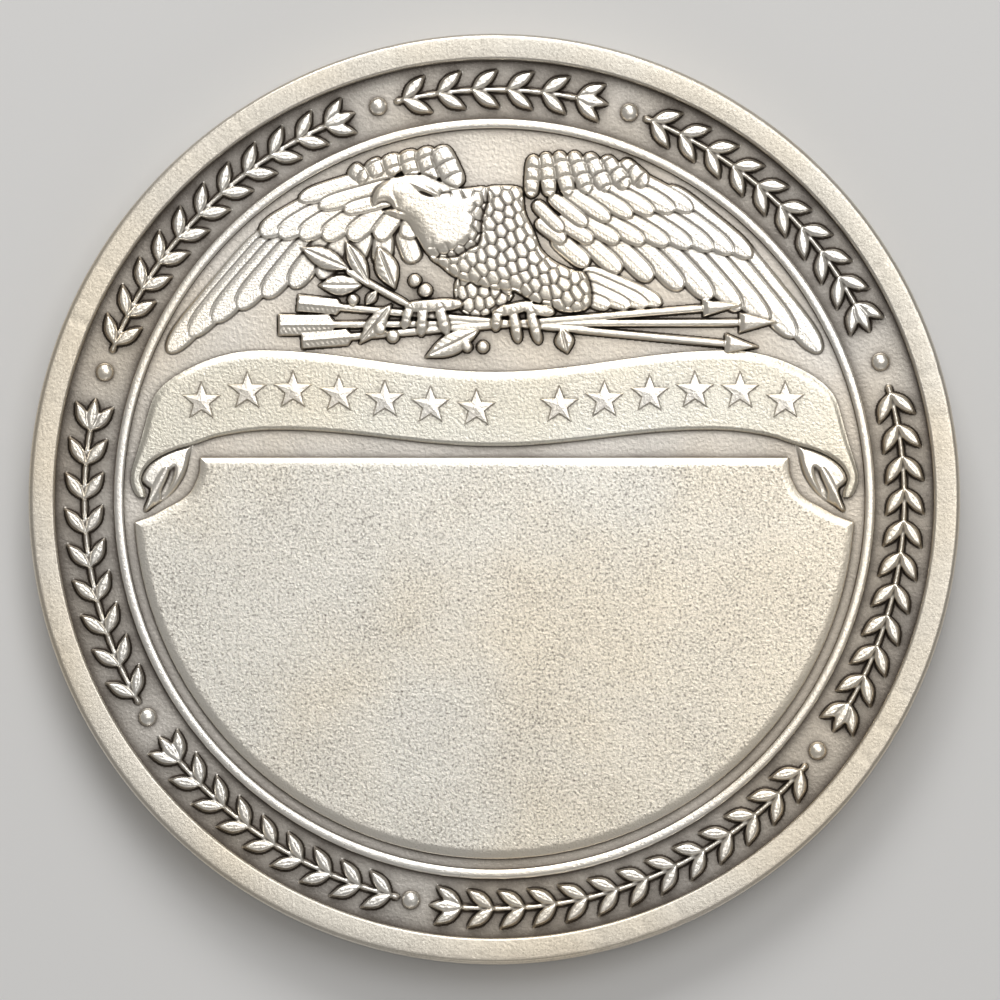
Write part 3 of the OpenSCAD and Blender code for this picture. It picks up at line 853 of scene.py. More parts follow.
@dataclass
class Blank(Part):
    """Planchet, rim, wire ring and pearls."""

    rim_round: float = 0.22
    knocks: int = 90
    knock_width: Point = (0.003, 0.012)
    knock_depth: Point = (0.004, 0.018)
    rim_crown: float = 0.025
    rim_cove: float = 0.14
    steps: int = 720

    def build(self) -> None:
        """Builds and dresses the blank's pieces."""
        s = self.sizes
        self.settle(self._planchet(), self.finishes.field, "planchet")
        self.settle(self._rim(), self.finishes.rim, "rim")
        self.settle(self._ring("wire_ring_struck", s.channel_z, s.wire_top, 1), self.finishes.relief,
                    "wire_ring")
        self.settle(self._ring("reverse_ring_struck", s.reverse_z, s.reverse_z - s.reverse_h, -1),
                    self.finishes.relief, "reverse_ring")
        self.settle(self._pearls("legend_pearls_struck", self.nodes["legend_pearls"]), self.finishes.relief,
                    "legend_pearls")
        self.settle(self._pearls("reverse_pearls_struck", self.nodes["reverse_pearls"]), self.finishes.relief,
                    "reverse_pearls")

    def _planchet(self) -> bpy.types.Object:
        """Disc with the channel and the central field on its upper face."""
        s = self.sizes
        flat = [(0.02, s.reverse_z), (6.0, s.reverse_z), (12.0, s.reverse_z),
                (s.channel_r - 0.3, s.reverse_z),
                (s.channel_r, s.reverse_z), (s.channel_r, s.channel_z)]
        across = [(r, s.channel_z) for r in np.linspace(s.channel_r - 0.2, s.field_r + 0.02, 12)]
        step = [(s.field_r, s.channel_z + 0.02), (s.field_r - 0.02, s.field_z)]
        centre = [(r, s.field_z) for r in np.linspace(s.field_r - 0.3, 0.02, 24)]
        return revolve("planchet_struck", flat + across + step + centre, 360, 40.0)

    def _rim(self) -> bpy.types.Object:
        """Rim with a slightly crowned face, rounded shoulders and small knocks."""
        s = self.sizes
        r, t, q = s.radius, s.thickness, self.rim_round
        inner, cove, crown = s.channel_r, self.rim_cove, self.rim_crown
        upper = arc((r - q, t - q), q, 0, 90, 9)
        broad = r - q - inner - cove
        face = [(x, t - crown * (1.0 - math.sin(math.pi * (r - q - x) / (2 * broad) + 0.5 * math.pi)))
                for x in np.linspace(r - q - 0.08, inner + cove, 6)]
        shoulder = arc((inner + cove, t - cove - crown), cove, 90, 180, 6)
        low = [(p[0], t - p[1]) for p in reversed(upper + face + shoulder)]
        profile = low[:-1] + [(r, q), (r, 0.5 * t)] + upper + face + shoulder
        rng = np.random.default_rng(11)
        knocks = [(rng.uniform(0, 2 * math.pi), rng.uniform(*self.knock_width),
                   rng.uniform(*self.knock_depth))
                  for _ in range(self.knocks)]

        def waver(turn: Grid, place: Grid) -> tuple[Grid, Grid]:
            """Dents the rim's edges inwards here and there."""
            dent = np.zeros_like(turn)
            for at, width, depth in knocks:
                gap = np.angle(np.exp(1j * (turn - at)))
                dent += depth * bell(gap, width) * (0.4 + 0.6 * np.sin(7.0 * place + 40.0 * at) ** 2)
            slow = 0.004 + 0.004 * np.sin(5 * turn + 1.0)
            outer = np.array([p[0] > r - q for p in profile], float)[:, None]
            high = np.array([p[1] > 0.5 * t for p in profile], float)[:, None]
            return -np.clip(dent, 0, 0.07) * outer * 0.7, -(np.clip(dent, 0, 0.03) + slow) * high * 0.5

        return revolve("rim_struck", profile, self.steps, 50.0, waver)

    def _ring(self, name: str, foot: float, top: float, facing: int) -> bpy.types.Object:
        """Half-round wire standing on a face."""
        s = self.sizes
        w = s.wire_r - s.field_r
        middle, height = s.field_r + 0.5 * w, abs(top - foot)
        crown = [(middle + 0.5 * w * math.copysign(abs(math.cos(a)) ** 0.8, math.cos(a)),
                  foot + facing * (height - 0.3 * w * (1.0 - math.sin(a) ** 0.6)))
                 for a in np.linspace(0.0, math.pi, 17)]
        profile = [(middle - 0.5 * w, foot), (middle + 0.5 * w, foot)] + crown
        return revolve(name, profile if facing > 0 else profile[::-1], self.steps, 50.0)

    def _pearls(self, name: str, node: bpy.types.Object) -> bpy.types.Object:
        """Domed pearls, one in the place of each solid of the node."""
        low, high = (c[2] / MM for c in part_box(node.name))
        facing = 1 if high > 0.5 * self.sizes.thickness else -1
        foot, size = (low, high - low) if facing > 0 else (high, high - low)
        points, faces, start = [], [], 0
        rings, count = 9, 28
        for loop in Outline(node, top=facing < 0).loops:
            cx, cy = loop.mean(axis=0)
            radius = float(np.hypot(*(loop - (cx, cy)).T).max())
            a = np.linspace(0, 2 * math.pi, count, endpoint=False)[None, :]
            e = np.linspace(0, 0.5 * math.pi * 0.97, rings)[:, None]
            ball = np.stack([cx + radius * np.cos(e) * np.cos(a), cy + radius * np.cos(e) * np.sin(a),
                             foot + facing * 0.78 * size * np.sin(e) ** 0.7 + 0.0 * a], axis=-1).reshape(-1, 3)
            caps = [np.arange(count)[::-1][None, :], (np.arange(count) + (rings - 1) * count)[None, :]]
            for f in (ring_faces(rings, count, False), *caps):
                faces.append((f if facing > 0 else f[:, ::-1]) + start)
            points.append(ball)
            start += len(ball)
        return make_piece(name, np.concatenate(points), faces, 50.0)


# ---------------------------------------------------------------------------
# Legend channel
# ---------------------------------------------------------------------------

@dataclass
class LaurelLegend(Part):
    """Seven sprays of laurel round the channel, where a coin carries its legend."""

    spans: tuple[Point, ...] = ((-13, 16), (22.5, 66), (75, 124.5), (131.5, 189), (194.5, 234.5), (241, 284),
                                (292, 340))
    lean: float = 35.0
    margin: float = 0.52
    leaf_width: float = 0.62
    pitch: float = 1.55
    grid: float = 0.045

    def build(self) -> None:
        """Sinks and strikes each spray."""
        s = self.sizes
        radius = 0.5 * (s.channel_r + s.wire_r)
        leaf = (0.5 * (s.channel_r - s.wire_r) - self.margin) / math.sin(math.radians(self.lean))
        for i, (start, end) in enumerate(self.spans, start=1):
            node = f"laurel_spray_{i}"
            box = np.array(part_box(node)) / MM
            level = box[1, 2] - box[0, 2]
            die = Die(tuple(box[0, :2] - 0.3), tuple(box[1, :2] + 0.3), self.grid)
            self._sink(die, node, radius, leaf, start, end, level)
            for piece in die.strike("_struck", s.channel_z, polish=0.7):
                self.settle(piece, self.finishes.relief, piece.name.removesuffix("_struck"))

    def _sink(self, die: Die, node: str, radius: float, leaf: float, start: float, end: float,
              level: float) -> None:
        """Sinks one spray: its stem in short rods, then its leaves in pairs with one at the tip.

        Args:
            die: Map of the spray.
            node: Device that owns it.
            radius: Radius of the stem.
            leaf: Length of a leaf.
            start: Angle of the first pair.
            end: Angle that the last leaf reaches.
            level: Height of the leaves.
        """
        turn = math.degrees(1.0 / radius)
        pairs = round((end - start) / turn / self.pitch)
        step = (end - start - leaf * turn) / (pairs - 1)
        stem = np.linspace(start - 0.24 * turn, end - 0.85 * leaf * turn, 3 * pairs)
        for a, b in zip(stem[:-1], stem[1:]):
            rod = Blade(on_dial(radius, a - 0.3), on_dial(radius, b + 0.3), 0.24, 8.0)
            die.lay_blade(node, rod, RodSkin(0.62 * level))
        skin = LeafSkin(level, edge=0.6)
        for p in range(pairs):
            a = start + p * step
            root = on_dial(radius, a)
            for lean in (-self.lean, self.lean) if p < pairs - 1 else (-self.lean, self.lean, 0.0):
                way = math.radians(a + lean)
                tip = (root[0] + leaf * math.cos(way), root[1] - leaf * math.sin(way))
                die.lay_blade(node, Blade(root, tip, self.leaf_width), skin)


# ---------------------------------------------------------------------------
# Eagle with its branch and arrows
# ---------------------------------------------------------------------------

@dataclass(frozen=True)
class FeatherRow:
    """Row of feathers from the outermost to the innermost."""

    first: tuple[Point, Point]
    middle: tuple[Point, Point]
    last: tuple[Point, Point]
    count: int
    width_first: float
    width_last: float

    def blades(self, art: float) -> list[Blade]:
        """Feathers of the row, scaled to the field."""
        made = []
        for i in range(self.count):
            t = i / (self.count - 1)
            ends = [tuple(art * between(self.first[e][k], self.middle[e][k], self.last[e][k], t)
                          for k in (0, 1))
                    for e in (0, 1)]
            width = self.width_first + (self.width_last - self.width_first) * t
            made.append(Blade(ends[0], ends[1], art * width, 5.0))
        return made


@dataclass
class Eagle(Part):
    """Eagle with raised wings over three arrows and an olive branch, and the ribbon's curled ends."""

    left_primaries: FeatherRow = FeatherRow(((-10.6, 13.0), (-15.6, 7.0)), ((-8.0, 12.9), (-10.4, 9.9)),
                                            ((-4.4, 12.9), (-3.8, 11.3)), 10, 1.25, 1.0)
    left_coverts: FeatherRow = FeatherRow(((-7.6, 14.7), (-11.2, 12.65)), ((-6.0, 14.0), (-8.2, 12.45)),
                                          ((-3.9, 13.5), (-4.2, 12.45)), 7, 1.15, 0.95)
    left_lessers: FeatherRow = FeatherRow(((-4.6, 15.75), (-9.35, 14.3)), ((-4.4, 15.1), (-8.4, 13.95)),
                                          ((-4.3, 14.5), (-7.2, 13.75)), 3, 0.95, 0.75)
    left_shoulder: FeatherRow = FeatherRow(((-6.9, 15.85), (-6.1, 15.25)), ((-4.6, 16.6), (-4.3, 15.5)),
                                           ((-2.7, 16.85), (-1.75, 14.85)), 6, 0.85, 1.15)
    right_primaries: FeatherRow = FeatherRow(((10.9, 12.9), (15.6, 7.0)), ((7.6, 12.6), (10.4, 9.55)),
                                             ((2.8, 12.6), (4.5, 11.15)), 9, 1.25, 0.95)
    right_coverts: FeatherRow = FeatherRow(((8.2, 14.9), (12.3, 11.55)), ((5.4, 13.9), (8.3, 12.15)),
                                           ((2.0, 13.3), (3.4, 12.3)), 9, 1.1, 0.75)
    right_lessers: FeatherRow = FeatherRow(((5.4, 15.95), (9.5, 13.8)), ((3.9, 15.1), (6.6, 13.5)),
                                           ((1.9, 14.2), (3.3, 12.8)), 7, 1.05, 0.7)
    right_shoulder: FeatherRow = FeatherRow(((6.0, 16.1), (7.3, 15.0)), ((3.7, 16.6), (4.5, 14.6)),
                                            ((1.9, 16.45), (1.75, 14.4)), 7, 0.95, 0.75)
    tail: FeatherRow = FeatherRow(((4.2, 10.9), (8.0, 9.3)), ((4.0, 10.5), (6.9, 9.15)), ((3.9, 9.8), (5.5, 9.15)),
                                  4, 0.95, 0.7)
    left_foot: tuple[tuple[Point, Point, float], ...] = (
        ((-1.5, 9.3), (-4.3, 9.15), 0.55), ((-4.0, 9.3), (-4.35, 8.1), 0.42),
        ((-3.4, 9.3), (-3.5, 7.75), 0.46), ((-2.7, 9.35), (-2.25, 7.8), 0.48))
    right_foot: tuple[tuple[Point, Point, float], ...] = (
        ((0.0, 8.85), (1.9, 9.3), 0.5), ((1.4, 9.1), (2.9, 8.9), 0.5), ((0.15, 9.05), (0.05, 8.0), 0.44),
        ((0.85, 9.15), (1.15, 7.45), 0.46), ((1.65, 9.15), (2.15, 7.4), 0.46))
    arrows: tuple[tuple[Point, Point, float, float, float, float], ...] = (
        ((-9.4, 9.35), (11.0, 7.4), 1.65, 1.0, 1.9, 0.8), ((-10.3, 8.3), (11.7, 8.42), 1.8, 1.0, 2.5, 1.0),
        ((-9.2, 7.55), (9.95, 9.1), 1.85, 0.85, 2.2, 0.8))
    shaft: float = 0.34
    stem: tuple[Point, Point, float] = ((-4.0, 9.2), (-7.1, 10.9), 0.36)
    leaves: tuple[tuple[Point, Point, float], ...] = (
        ((-6.9, 10.95), (-9.25, 12.0), 0.95), ((-6.0, 10.3), (-7.1, 12.3), 0.82),
        ((-4.75, 10.0), (-5.55, 12.05), 1.1),
        ((-6.3, 10.2), (-8.4, 10.2), 1.0), ((-5.6, 9.95), (-6.15, 9.25), 0.5))
    hanging: tuple[tuple[Point, Point, float], ...] = (
        ((-4.9, 9.3), (-6.45, 7.4), 0.85), ((-0.7, 8.05), (-3.3, 6.75), 1.05),
        ((3.2, 8.15), (3.5, 6.95), 0.9))
    berries: tuple[tuple[Point, float], ...] = (
        ((-6.75, 9.5), 0.27), ((-3.8, 10.42), 0.3), ((-3.3, 9.95), 0.33), ((-5.45, 8.1), 0.28),
        ((-4.85, 7.75), 0.3), ((-1.3, 7.25), 0.25), ((-0.55, 7.25), 0.28))
    grid: float = 0.034

    def level(self, node: str) -> float:
        """Height of a node above the field."""
        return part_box(node)[1][2] / MM - self.sizes.field_z

    def build(self) -> None:
        """Sinks the devices from the lowest to the highest and strikes them."""
        r = self.sizes.field_r
        die = Die((-0.985 * r, -0.06 * r), (0.985 * r, 0.97 * r), self.grid)
        self._sink_wings(die)
        self._sink_body(die)
        self._sink_arrows(die)
        self._sink_branch(die)
        self._sink_feet(die)
        self._sink_head(die)
        self._sink_folds(die)
        for piece in die.strike("_struck", self.sizes.field_z):
            self.settle(piece, self.finishes.relief, piece.name.removesuffix("_struck"))

    def _sink_row(self, die: Die, node: str, row: FeatherRow, skin: FeatherSkin) -> None:
        """Sinks a row of feathers, each overlapping the one outside it."""
        for blade in row.blades(self.sizes.art):
            die.lay_blade(node, blade, skin)

    def _sink_wings(self, die: Die) -> None:
        """Sinks both wings from the flight feathers to the shoulder."""
        a = self.sizes.art
        for side, rows in (("left", (self.left_primaries, self.left_coverts, self.left_lessers, self.left_shoulder)),
                           ("right", (self.right_primaries, self.right_coverts, self.right_lessers,
                                      self.right_shoulder))):
            for kind, row in zip(("primaries", "coverts", "lessers", "shoulder"), rows):
                node = f"wing_{side}_{kind}"
                brick = 0.62 * a if kind == "shoulder" else 0.0
                self._sink_row(die, node, row, FeatherSkin(self.level(node), brick=brick))
        self._sink_row(die, "eagle_tail", self.tail,
                       FeatherSkin(self.level("eagle_tail"), step=0.06, rise=0.02))

    def _sink_body(self, die: Die) -> None:
        """Sinks the thigh and the breast under rows of small feathers."""
        for node, turn in (("eagle_thigh", 96.0), ("eagle_body", 118.0)):
            level = self.level(node)
            pebbles = Pebbles(0.62, 0.52, turn, 0.11)

            def skin(x: Grid, y: Grid, inside: Grid, level: float = level,
                     pebbles: Pebbles = pebbles) -> Grid:
                """Dome that swells from its edge, with pebbles on it."""
                swell = np.sqrt(np.clip(1.0 - (1.0 - np.clip(inside / 0.9, 0.0, 1.0)) ** 2, 0.0, 1.0))
                return (level - 0.11) * (0.55 + 0.45 * swell) + pebbles(x, y)

            die.lay_outline(node, Outline(self.nodes[node]), skin)

    def _sink_head(self, die: Die) -> None:
        """Sinks the head: rough plumage, a short hooked beak and a slit eye under a heavy brow."""
        level, a = self.level("eagle_head"), self.sizes.art
        pebbles = Pebbles(0.62, 0.52, 118.0, 0.10)
        plumage = Pebbles(0.30, 0.22, 70.0, 0.006, seed=5)
        brow = Blade((-4.15 * a, 15.16 * a), (-2.45 * a, 14.42 * a), 0.5 * a)
        eye = Blade((-3.78 * a, 14.76 * a), (-2.75 * a, 14.36 * a), 0.24 * a)
        mouth = Blade((-5.5 * a, 14.12 * a), (-4.1 * a, 13.58 * a), 0.2 * a)

        def skin(x: Grid, y: Grid, inside: Grid) -> Grid:
            """Dome with the face's features cut and raised on it."""
            swell = np.sqrt(np.clip(1.0 - (1.0 - np.clip(inside / 0.9, 0.0, 1.0)) ** 2, 0.0, 1.0))
            z = (level - 0.06) * (0.42 + 0.58 * swell)
            beak = smooth(-4.75 * a, -4.95 * a, x + 0.3 * (y - 14.6 * a))
            z += beak * (level - 0.06) * 0.58 * (smooth(0.0, 0.3, inside) ** 0.5 - swell) * 0.8
            z += plumage(x, y) * (1.0 - beak)
            z -= 0.012 * bell(x + 4.85 * a + 0.3 * (y - 14.6 * a), 0.07)
            hood = smooth(0.75, 0.35, inside + 0.10 * np.sin(7.0 * x - 5.0 * y))
            hood *= smooth(-3.3 * a, -2.8 * a, x) * smooth(14.95 * a, 14.6 * a, y)
            z += hood * (pebbles(x, y) - 0.13)
            for blade, lift in ((brow, 0.075), (eye, -0.15), (mouth, -0.10)):
                _, _, deep = blade.local(x, y)
                z += lift * smooth(0.0, 0.45 * blade.width, deep)
            return z

        die.lay_outline("eagle_head", Outline(self.nodes["eagle_head"]), skin)

    def _sink_arrows(self, die: Die) -> None:
        """Sinks the arrows: shaft, faceted head and vanes."""
        a = self.sizes.art
        for number, order in ((2, 1), (1, 0), (3, 2)):
            start, end, head, head_w, vane, vane_w = self.arrows[order]
            node, level = f"arrow_{number}", self.level(f"arrow_{number}")
            run = math.dist(start, end)
            dx, dy = (end[0] - start[0]) / run, (end[1] - start[1]) / run
            tip = (a * (end[0] + dx * head), a * (end[1] + dy * head))
            back = (a * start[0], a * start[1])
            neck = (a * (end[0] + 0.3 * dx), a * (end[1] + 0.3 * dy))
            die.lay_blade(node, Blade(back, neck, a * self.shaft, 60.0), RodSkin(level - 0.04))
            low = (min(back[0], tip[0]) - 1, min(back[1], tip[1]) - 1)
            high = (max(back[0], tip[0]) + 1, max(back[1], tip[1]) + 1)
            where = die.near(low, high)
            x, y = die.x[where], die.y[where]
            along = (x - back[0]) * dx + (y - back[1]) * dy
            across = np.abs((y - back[1]) * dx - (x - back[0]) * dy)
            left = a * (run + head) - along
            edge = 0.5 * head_w / head
            inside = np.minimum((left * edge - across) / math.hypot(1.0, edge), a * head - left)
            roof = level + 0.02 - 0.055 * np.clip(across / (0.5 * a * head_w), 0.0, 1.0)
            roof -= 0.1 * smooth(0.3, 0.0, a * head - left)
            die.lay(node, where, roof, inside, 1.6)
            quill = along - 0.7 * across
            inside = np.minimum(np.minimum(0.5 * a * vane_w - across, along + 0.02),
                                a * (vane + 0.3) - along - across * 0.8)
            vanes = level - 0.06 - 0.05 * np.clip(across / (0.5 * a * vane_w), 0, 1) ** 2
            vanes += (0.006 * np.sin(quill * 2 * math.pi / 0.24) * smooth(0.05, 0.1, across)
                      + 0.03 * bell(across, 0.07))
            die.lay(node, where, vanes, inside, 1.6)

    def _sink_branch(self, die: Die) -> None:
        """Sinks the olive stem, its leaves and its berries."""
        a = self.sizes.art

        def scaled(spec: tuple[Point, Point, float], fullness: float) -> Blade:
            """Blade of a listed piece, scaled to the field."""
            return Blade((a * spec[0][0], a * spec[0][1]), (a * spec[1][0], a * spec[1][1]),
                         a * spec[2], fullness)

        die.lay_blade("olive_stem", scaled(self.stem, 8.0), RodSkin(self.level("olive_stem")))
        for node, leaves in (("olive_leaves", self.leaves), ("hanging_leaves", self.hanging)):
            for spec in leaves:
                die.lay_blade(node, scaled(spec, 1.0), LeafSkin(self.level(node), edge=0.74, midrib=0.08))
        level = self.level("berries")
        for (x, y), r in self.berries:
            where = die.near((a * x - r - 0.1, a * y - r - 0.1), (a * x + r + 0.1, a * y + r + 0.1))
            far = np.hypot(die.x[where] - a * x, die.y[where] - a * y)
            ball = level - 0.06 * (1.0 - np.sqrt(np.clip(1.0 - (far / (a * r)) ** 2, 0.0, 1.0)))
            die.lay("berries", where, ball, a * r - far, 1.6)

    def _sink_feet(self, die: Die) -> None:
        """Sinks the toes with their claws."""
        a = self.sizes.art
        for node, toes in (("eagle_foot_left", self.left_foot), ("eagle_foot_right", self.right_foot)):
            skin = ToeSkin(self.level(node))
            for root, tip, width in toes:
                blade = Blade((a * root[0], a * root[1]), (a * tip[0], a * tip[1]), 1.12 * a * width, 3.4)
                die.lay_blade(node, blade, skin)

    def _sink_folds(self, die: Die) -> None:
        """Sinks the curls behind the ribbon's ends: a rolled cup with the loose end hanging out of it."""
        a = self.sizes.art
        for side in ("left", "right"):
            node = f"ribbon_fold_{side}"
            level = self.level(node)
            loose = Blade((15.62 * a, 1.5 * a), (16.78 * a, -0.68 * a), 0.5 * a, 3.0)
            pocket = Blade((15.25 * a, 1.62 * a), (15.95 * a, -0.1 * a), 0.62 * a, 2.4)

            def skin(x: Grid, y: Grid, inside: Grid, level: float = level) -> Grid:
                """Rolled cloth, hollow in the middle, with a rod-like loose end."""
                z = level * (0.40 + 0.38 * smooth(0.0, 0.2, inside)) - 0.04 * smooth(1.2 * a, 2.4 * a, y)
                _, _, deep = pocket.local(np.abs(x), y)
                z = z - 0.12 * smooth(0.0, 0.2, deep)
                _, across, deep = loose.local(np.abs(x), y)
                rod = level + 0.03 - 0.10 * np.clip(2.0 * np.abs(across) / loose.width, 0.0, 1.0) ** 2
                return z + (rod - z) * smooth(-0.02, 0.05, deep)

            die.lay_outline(node, Outline(self.nodes[node]), skin)


# ---------------------------------------------------------------------------
# Ribbon, stars and panel
# ---------------------------------------------------------------------------

@dataclass
class Ribbon(Part):
    """Waving ribbon that narrows into a strip at each end, with its thirteen stars."""

    upper_bevel: float = 0.34
    lower_bevel: float = 0.10
    drop: float = 0.15
    star_edge: float = 0.01
    star_rise: float = 0.012
    tip: Point = (16.84, 0.05)
    outer_corner: Point = (15.74, 5.48)
    inner_corner: Point = (14.0, 2.72)

    def build(self) -> None:
        """Builds and dresses the band and the stars."""
        self.settle(self._band(), self.finishes.ribbon, "ribbon")
        for side in ("left", "right"):
            self.settle(self._stars(f"ribbon_stars_{side}"), self.finishes.relief, f"ribbon_stars_{side}")

    def _chain(self, outline: Outline, corner: Point, half_tip: float, upper: bool) -> np.ndarray:
        """Resampled edge from the right-hand tip to the left-hand one, with set stations at its corners.

        Args:
            outline: The band's outline.
            corner: Corner where the strip meets the band, on the right-hand side.
            half_tip: Half the width of the strip's tip, towards the edge that is asked for.
            upper: Whether the upper edge is asked for.

        Returns:
            Points along the edge.
        """
        a = self.sizes.art
        tip = (a * (self.tip[0] + half_tip), a * self.tip[1])
        stops = [tip, (a * corner[0], a * corner[1]), (-a * corner[0], a * corner[1]), (-tip[0], tip[1])]
        parts = []
        for count, start, end in zip((90, 420, 90), stops[:-1], stops[1:]):
            chain = outline.chain(start, end) if upper else outline.chain(end, start)[::-1]
            parts.append(resampled(chain, count)[:-1])
        return np.concatenate(parts + [np.array([stops[-1]])])

    def _band(self) -> bpy.types.Object:
        """Lofts the band between its upper and lower edges."""
        outline = Outline(self.nodes["ribbon"])
        top, foot = outline.level, self.sizes.field_z
        hi = self._chain(outline, self.outer_corner, 0.16, True)
        lo = self._chain(outline, self.inner_corner, -0.16, False)
        width = np.hypot(*(hi - lo).T)
        near_tip = np.minimum(np.arange(len(hi)), np.arange(len(hi))[::-1]) / 90.0
        shares = ([0.0, 0.012, 0.03, 0.055] + list(np.linspace(0.08, 0.80, 9))
                  + [0.84, 0.88, 0.92, 0.96, 0.985, 1.0])
        rows = []
        for v in shares:
            below, above = v * width, (1.0 - v) * width
            reach = np.minimum(self.upper_bevel, 0.3 * width)
            z = top - (self.drop * (1.0 - smooth(0.0, 1.0, above / reach))
                       * (0.45 + 0.55 * smooth(0.9, 1.6, near_tip)))
            z -= 0.6 * self.drop * (1.0 - smooth(0.0, self.lower_bevel, below))
            z -= 0.02 * smooth(1.0, 0.0, near_tip) * np.abs(2.0 * v - 1.0) ** 2
            rows.append(np.column_stack([lo + v * (hi - lo), z]))
        n, k = len(hi), len(rows)
        grid = np.concatenate(rows)
        bottom = grid.copy()
        bottom[:, 2] = foot
        i, j = np.meshgrid(np.arange(n - 1), np.arange(k - 1))
        a = (j * n + i).ravel()
        quads = np.stack([a, a + n, a + n + 1, a + 1], axis=1)
        count = len(grid)
        edges = np.concatenate([quads[:, [m, (m + 1) % 4]] for m in range(4)])
        ahead, back = edges[:, 0] * count + edges[:, 1], edges[:, 1] * count + edges[:, 0]
        rim = edges[~np.isin(ahead, back)]
        walls = np.stack([rim[:, 1], rim[:, 0], rim[:, 0] + count, rim[:, 1] + count], axis=1)
        return make_piece("ribbon_struck", np.concatenate([grid, bottom]), [quads, walls, quads[:, ::-1] + count],
                          50.0)

    def _stars(self, node: str) -> bpy.types.Object:
        """Faceted stars, each with a ridge to every point."""
        foot, top = (c[2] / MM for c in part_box(node))
        points, faces, start = [], [], 0
        i = np.arange(10)
        sides = ring_faces(3, 10, False)[:, ::-1]
        roof = np.stack([i + 20, np.full(10, 30), (i + 1) % 10 + 20], axis=1)
        for loop in Outline(self.nodes[node]).loops:
            cx, cy = loop.mean(axis=0)
            far = np.hypot(*(loop - (cx, cy)).T)
            ring = np.array([on_dial(far.max() if k % 2 == 0 else far.min(), 36 * k) for k in range(10)])
            for share, z in ((1.0, foot), (1.0, top - 0.07), (0.86, top - self.star_edge)):
                points += [(cx + share * a, cy + share * b, z) for a, b in ring]
            points.append((cx, cy, top + self.star_rise))
            faces += [sides + start, roof + start, i[None, :] + start]
            start += 31
        return make_piece(node + "_struck", np.array(points), faces, 5.0)


@dataclass
class Panel(Part):
    """Blank engraving panel with a broad chamfer that carries a painted highlight."""

    chamfer: tuple[Point, ...] = ((0.0, 0.13), (0.04, 0.085), (0.10, 0.066), (0.22, 0.036),
                                  (0.34, 0.010), (0.40, 0.002),
                                  (0.46, 0.0), (0.6, 0.0))
    # Painted highlight: a negative hollow value that paints the chamfer lighter all round.
    painted_chamfer_highlight: float = -0.5

    def build(self) -> None:
        """Builds and dresses the panel."""
        self.settle(self._plate(), self.finishes.panel, "engraving_panel")

    def _plate(self) -> bpy.types.Object:
        """Lofts the plate through loops set in from its outline."""
        outline = Outline(self.nodes["engraving_panel"], top=False)
        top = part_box("engraving_panel")[1][2] / MM
        loop = self._thinned(outline.longest, 0.08)
        loops = [np.column_stack([loop, np.full(len(loop), self.sizes.field_z)])]
        for inset, drop in self.chamfer:
            p = self._inset(loop, inset)
            kept = np.flatnonzero(outline.distance(p[:, 0], p[:, 1]) > inset - 0.012)
            steps = np.abs(np.arange(len(loop))[:, None] - kept[None, :])
            p = p[kept[np.argmin(np.minimum(steps, len(loop) - steps), axis=1)]]
            loops.append(np.column_stack([p, np.full(len(loop), top - drop)]))
        plate = loft("engraving_panel_struck", loops, 12.0)
        # Painted highlight: the chamfer's loops get a negative hollow value, so the material paints them lighter.
        shade = plate.data.attributes.new("hollow", "FLOAT", "POINT")
        painted_highlight_by_loop = [0.0] + [self.painted_chamfer_highlight if inset < 0.38 else 0.0 for inset, _ in self.chamfer]
        shade.data.foreach_set("value", np.repeat(painted_highlight_by_loop, len(loop)).astype(np.float32))
        return weld(plate)

    @staticmethod
    def _thinned(loop: np.ndarray, least: float) -> np.ndarray:
        """Loop without points that lie closer together than the given distance."""
        kept = [loop[0]]
        for point in loop[1:]:
            if np.linalg.norm(point - kept[-1]) >= least and np.linalg.norm(point - loop[0]) >= least:
                kept.append(point)
        return np.array(kept)

    @staticmethod
    def _inset(loop: np.ndarray, depth: float) -> np.ndarray:
        """Anticlockwise loop with every side moved in by a depth and mitred corners."""
        ahead, behind = np.roll(loop, -1, axis=0) - loop, loop - np.roll(loop, 1, axis=0)
        ahead /= np.linalg.norm(ahead, axis=1)[:, None]
        behind /= np.linalg.norm(behind, axis=1)[:, None]
        normal = np.column_stack([-(ahead + behind)[:, 1], (ahead + behind)[:, 0]])
        normal /= np.linalg.norm(normal, axis=1)[:, None]
        lean = np.maximum(normal[:, 0] * -ahead[:, 1] + normal[:, 1] * ahead[:, 0], 0.3)
        return loop + normal * (depth / lean)[:, None]


# ---------------------------------------------------------------------------
# Reverse
# ---------------------------------------------------------------------------

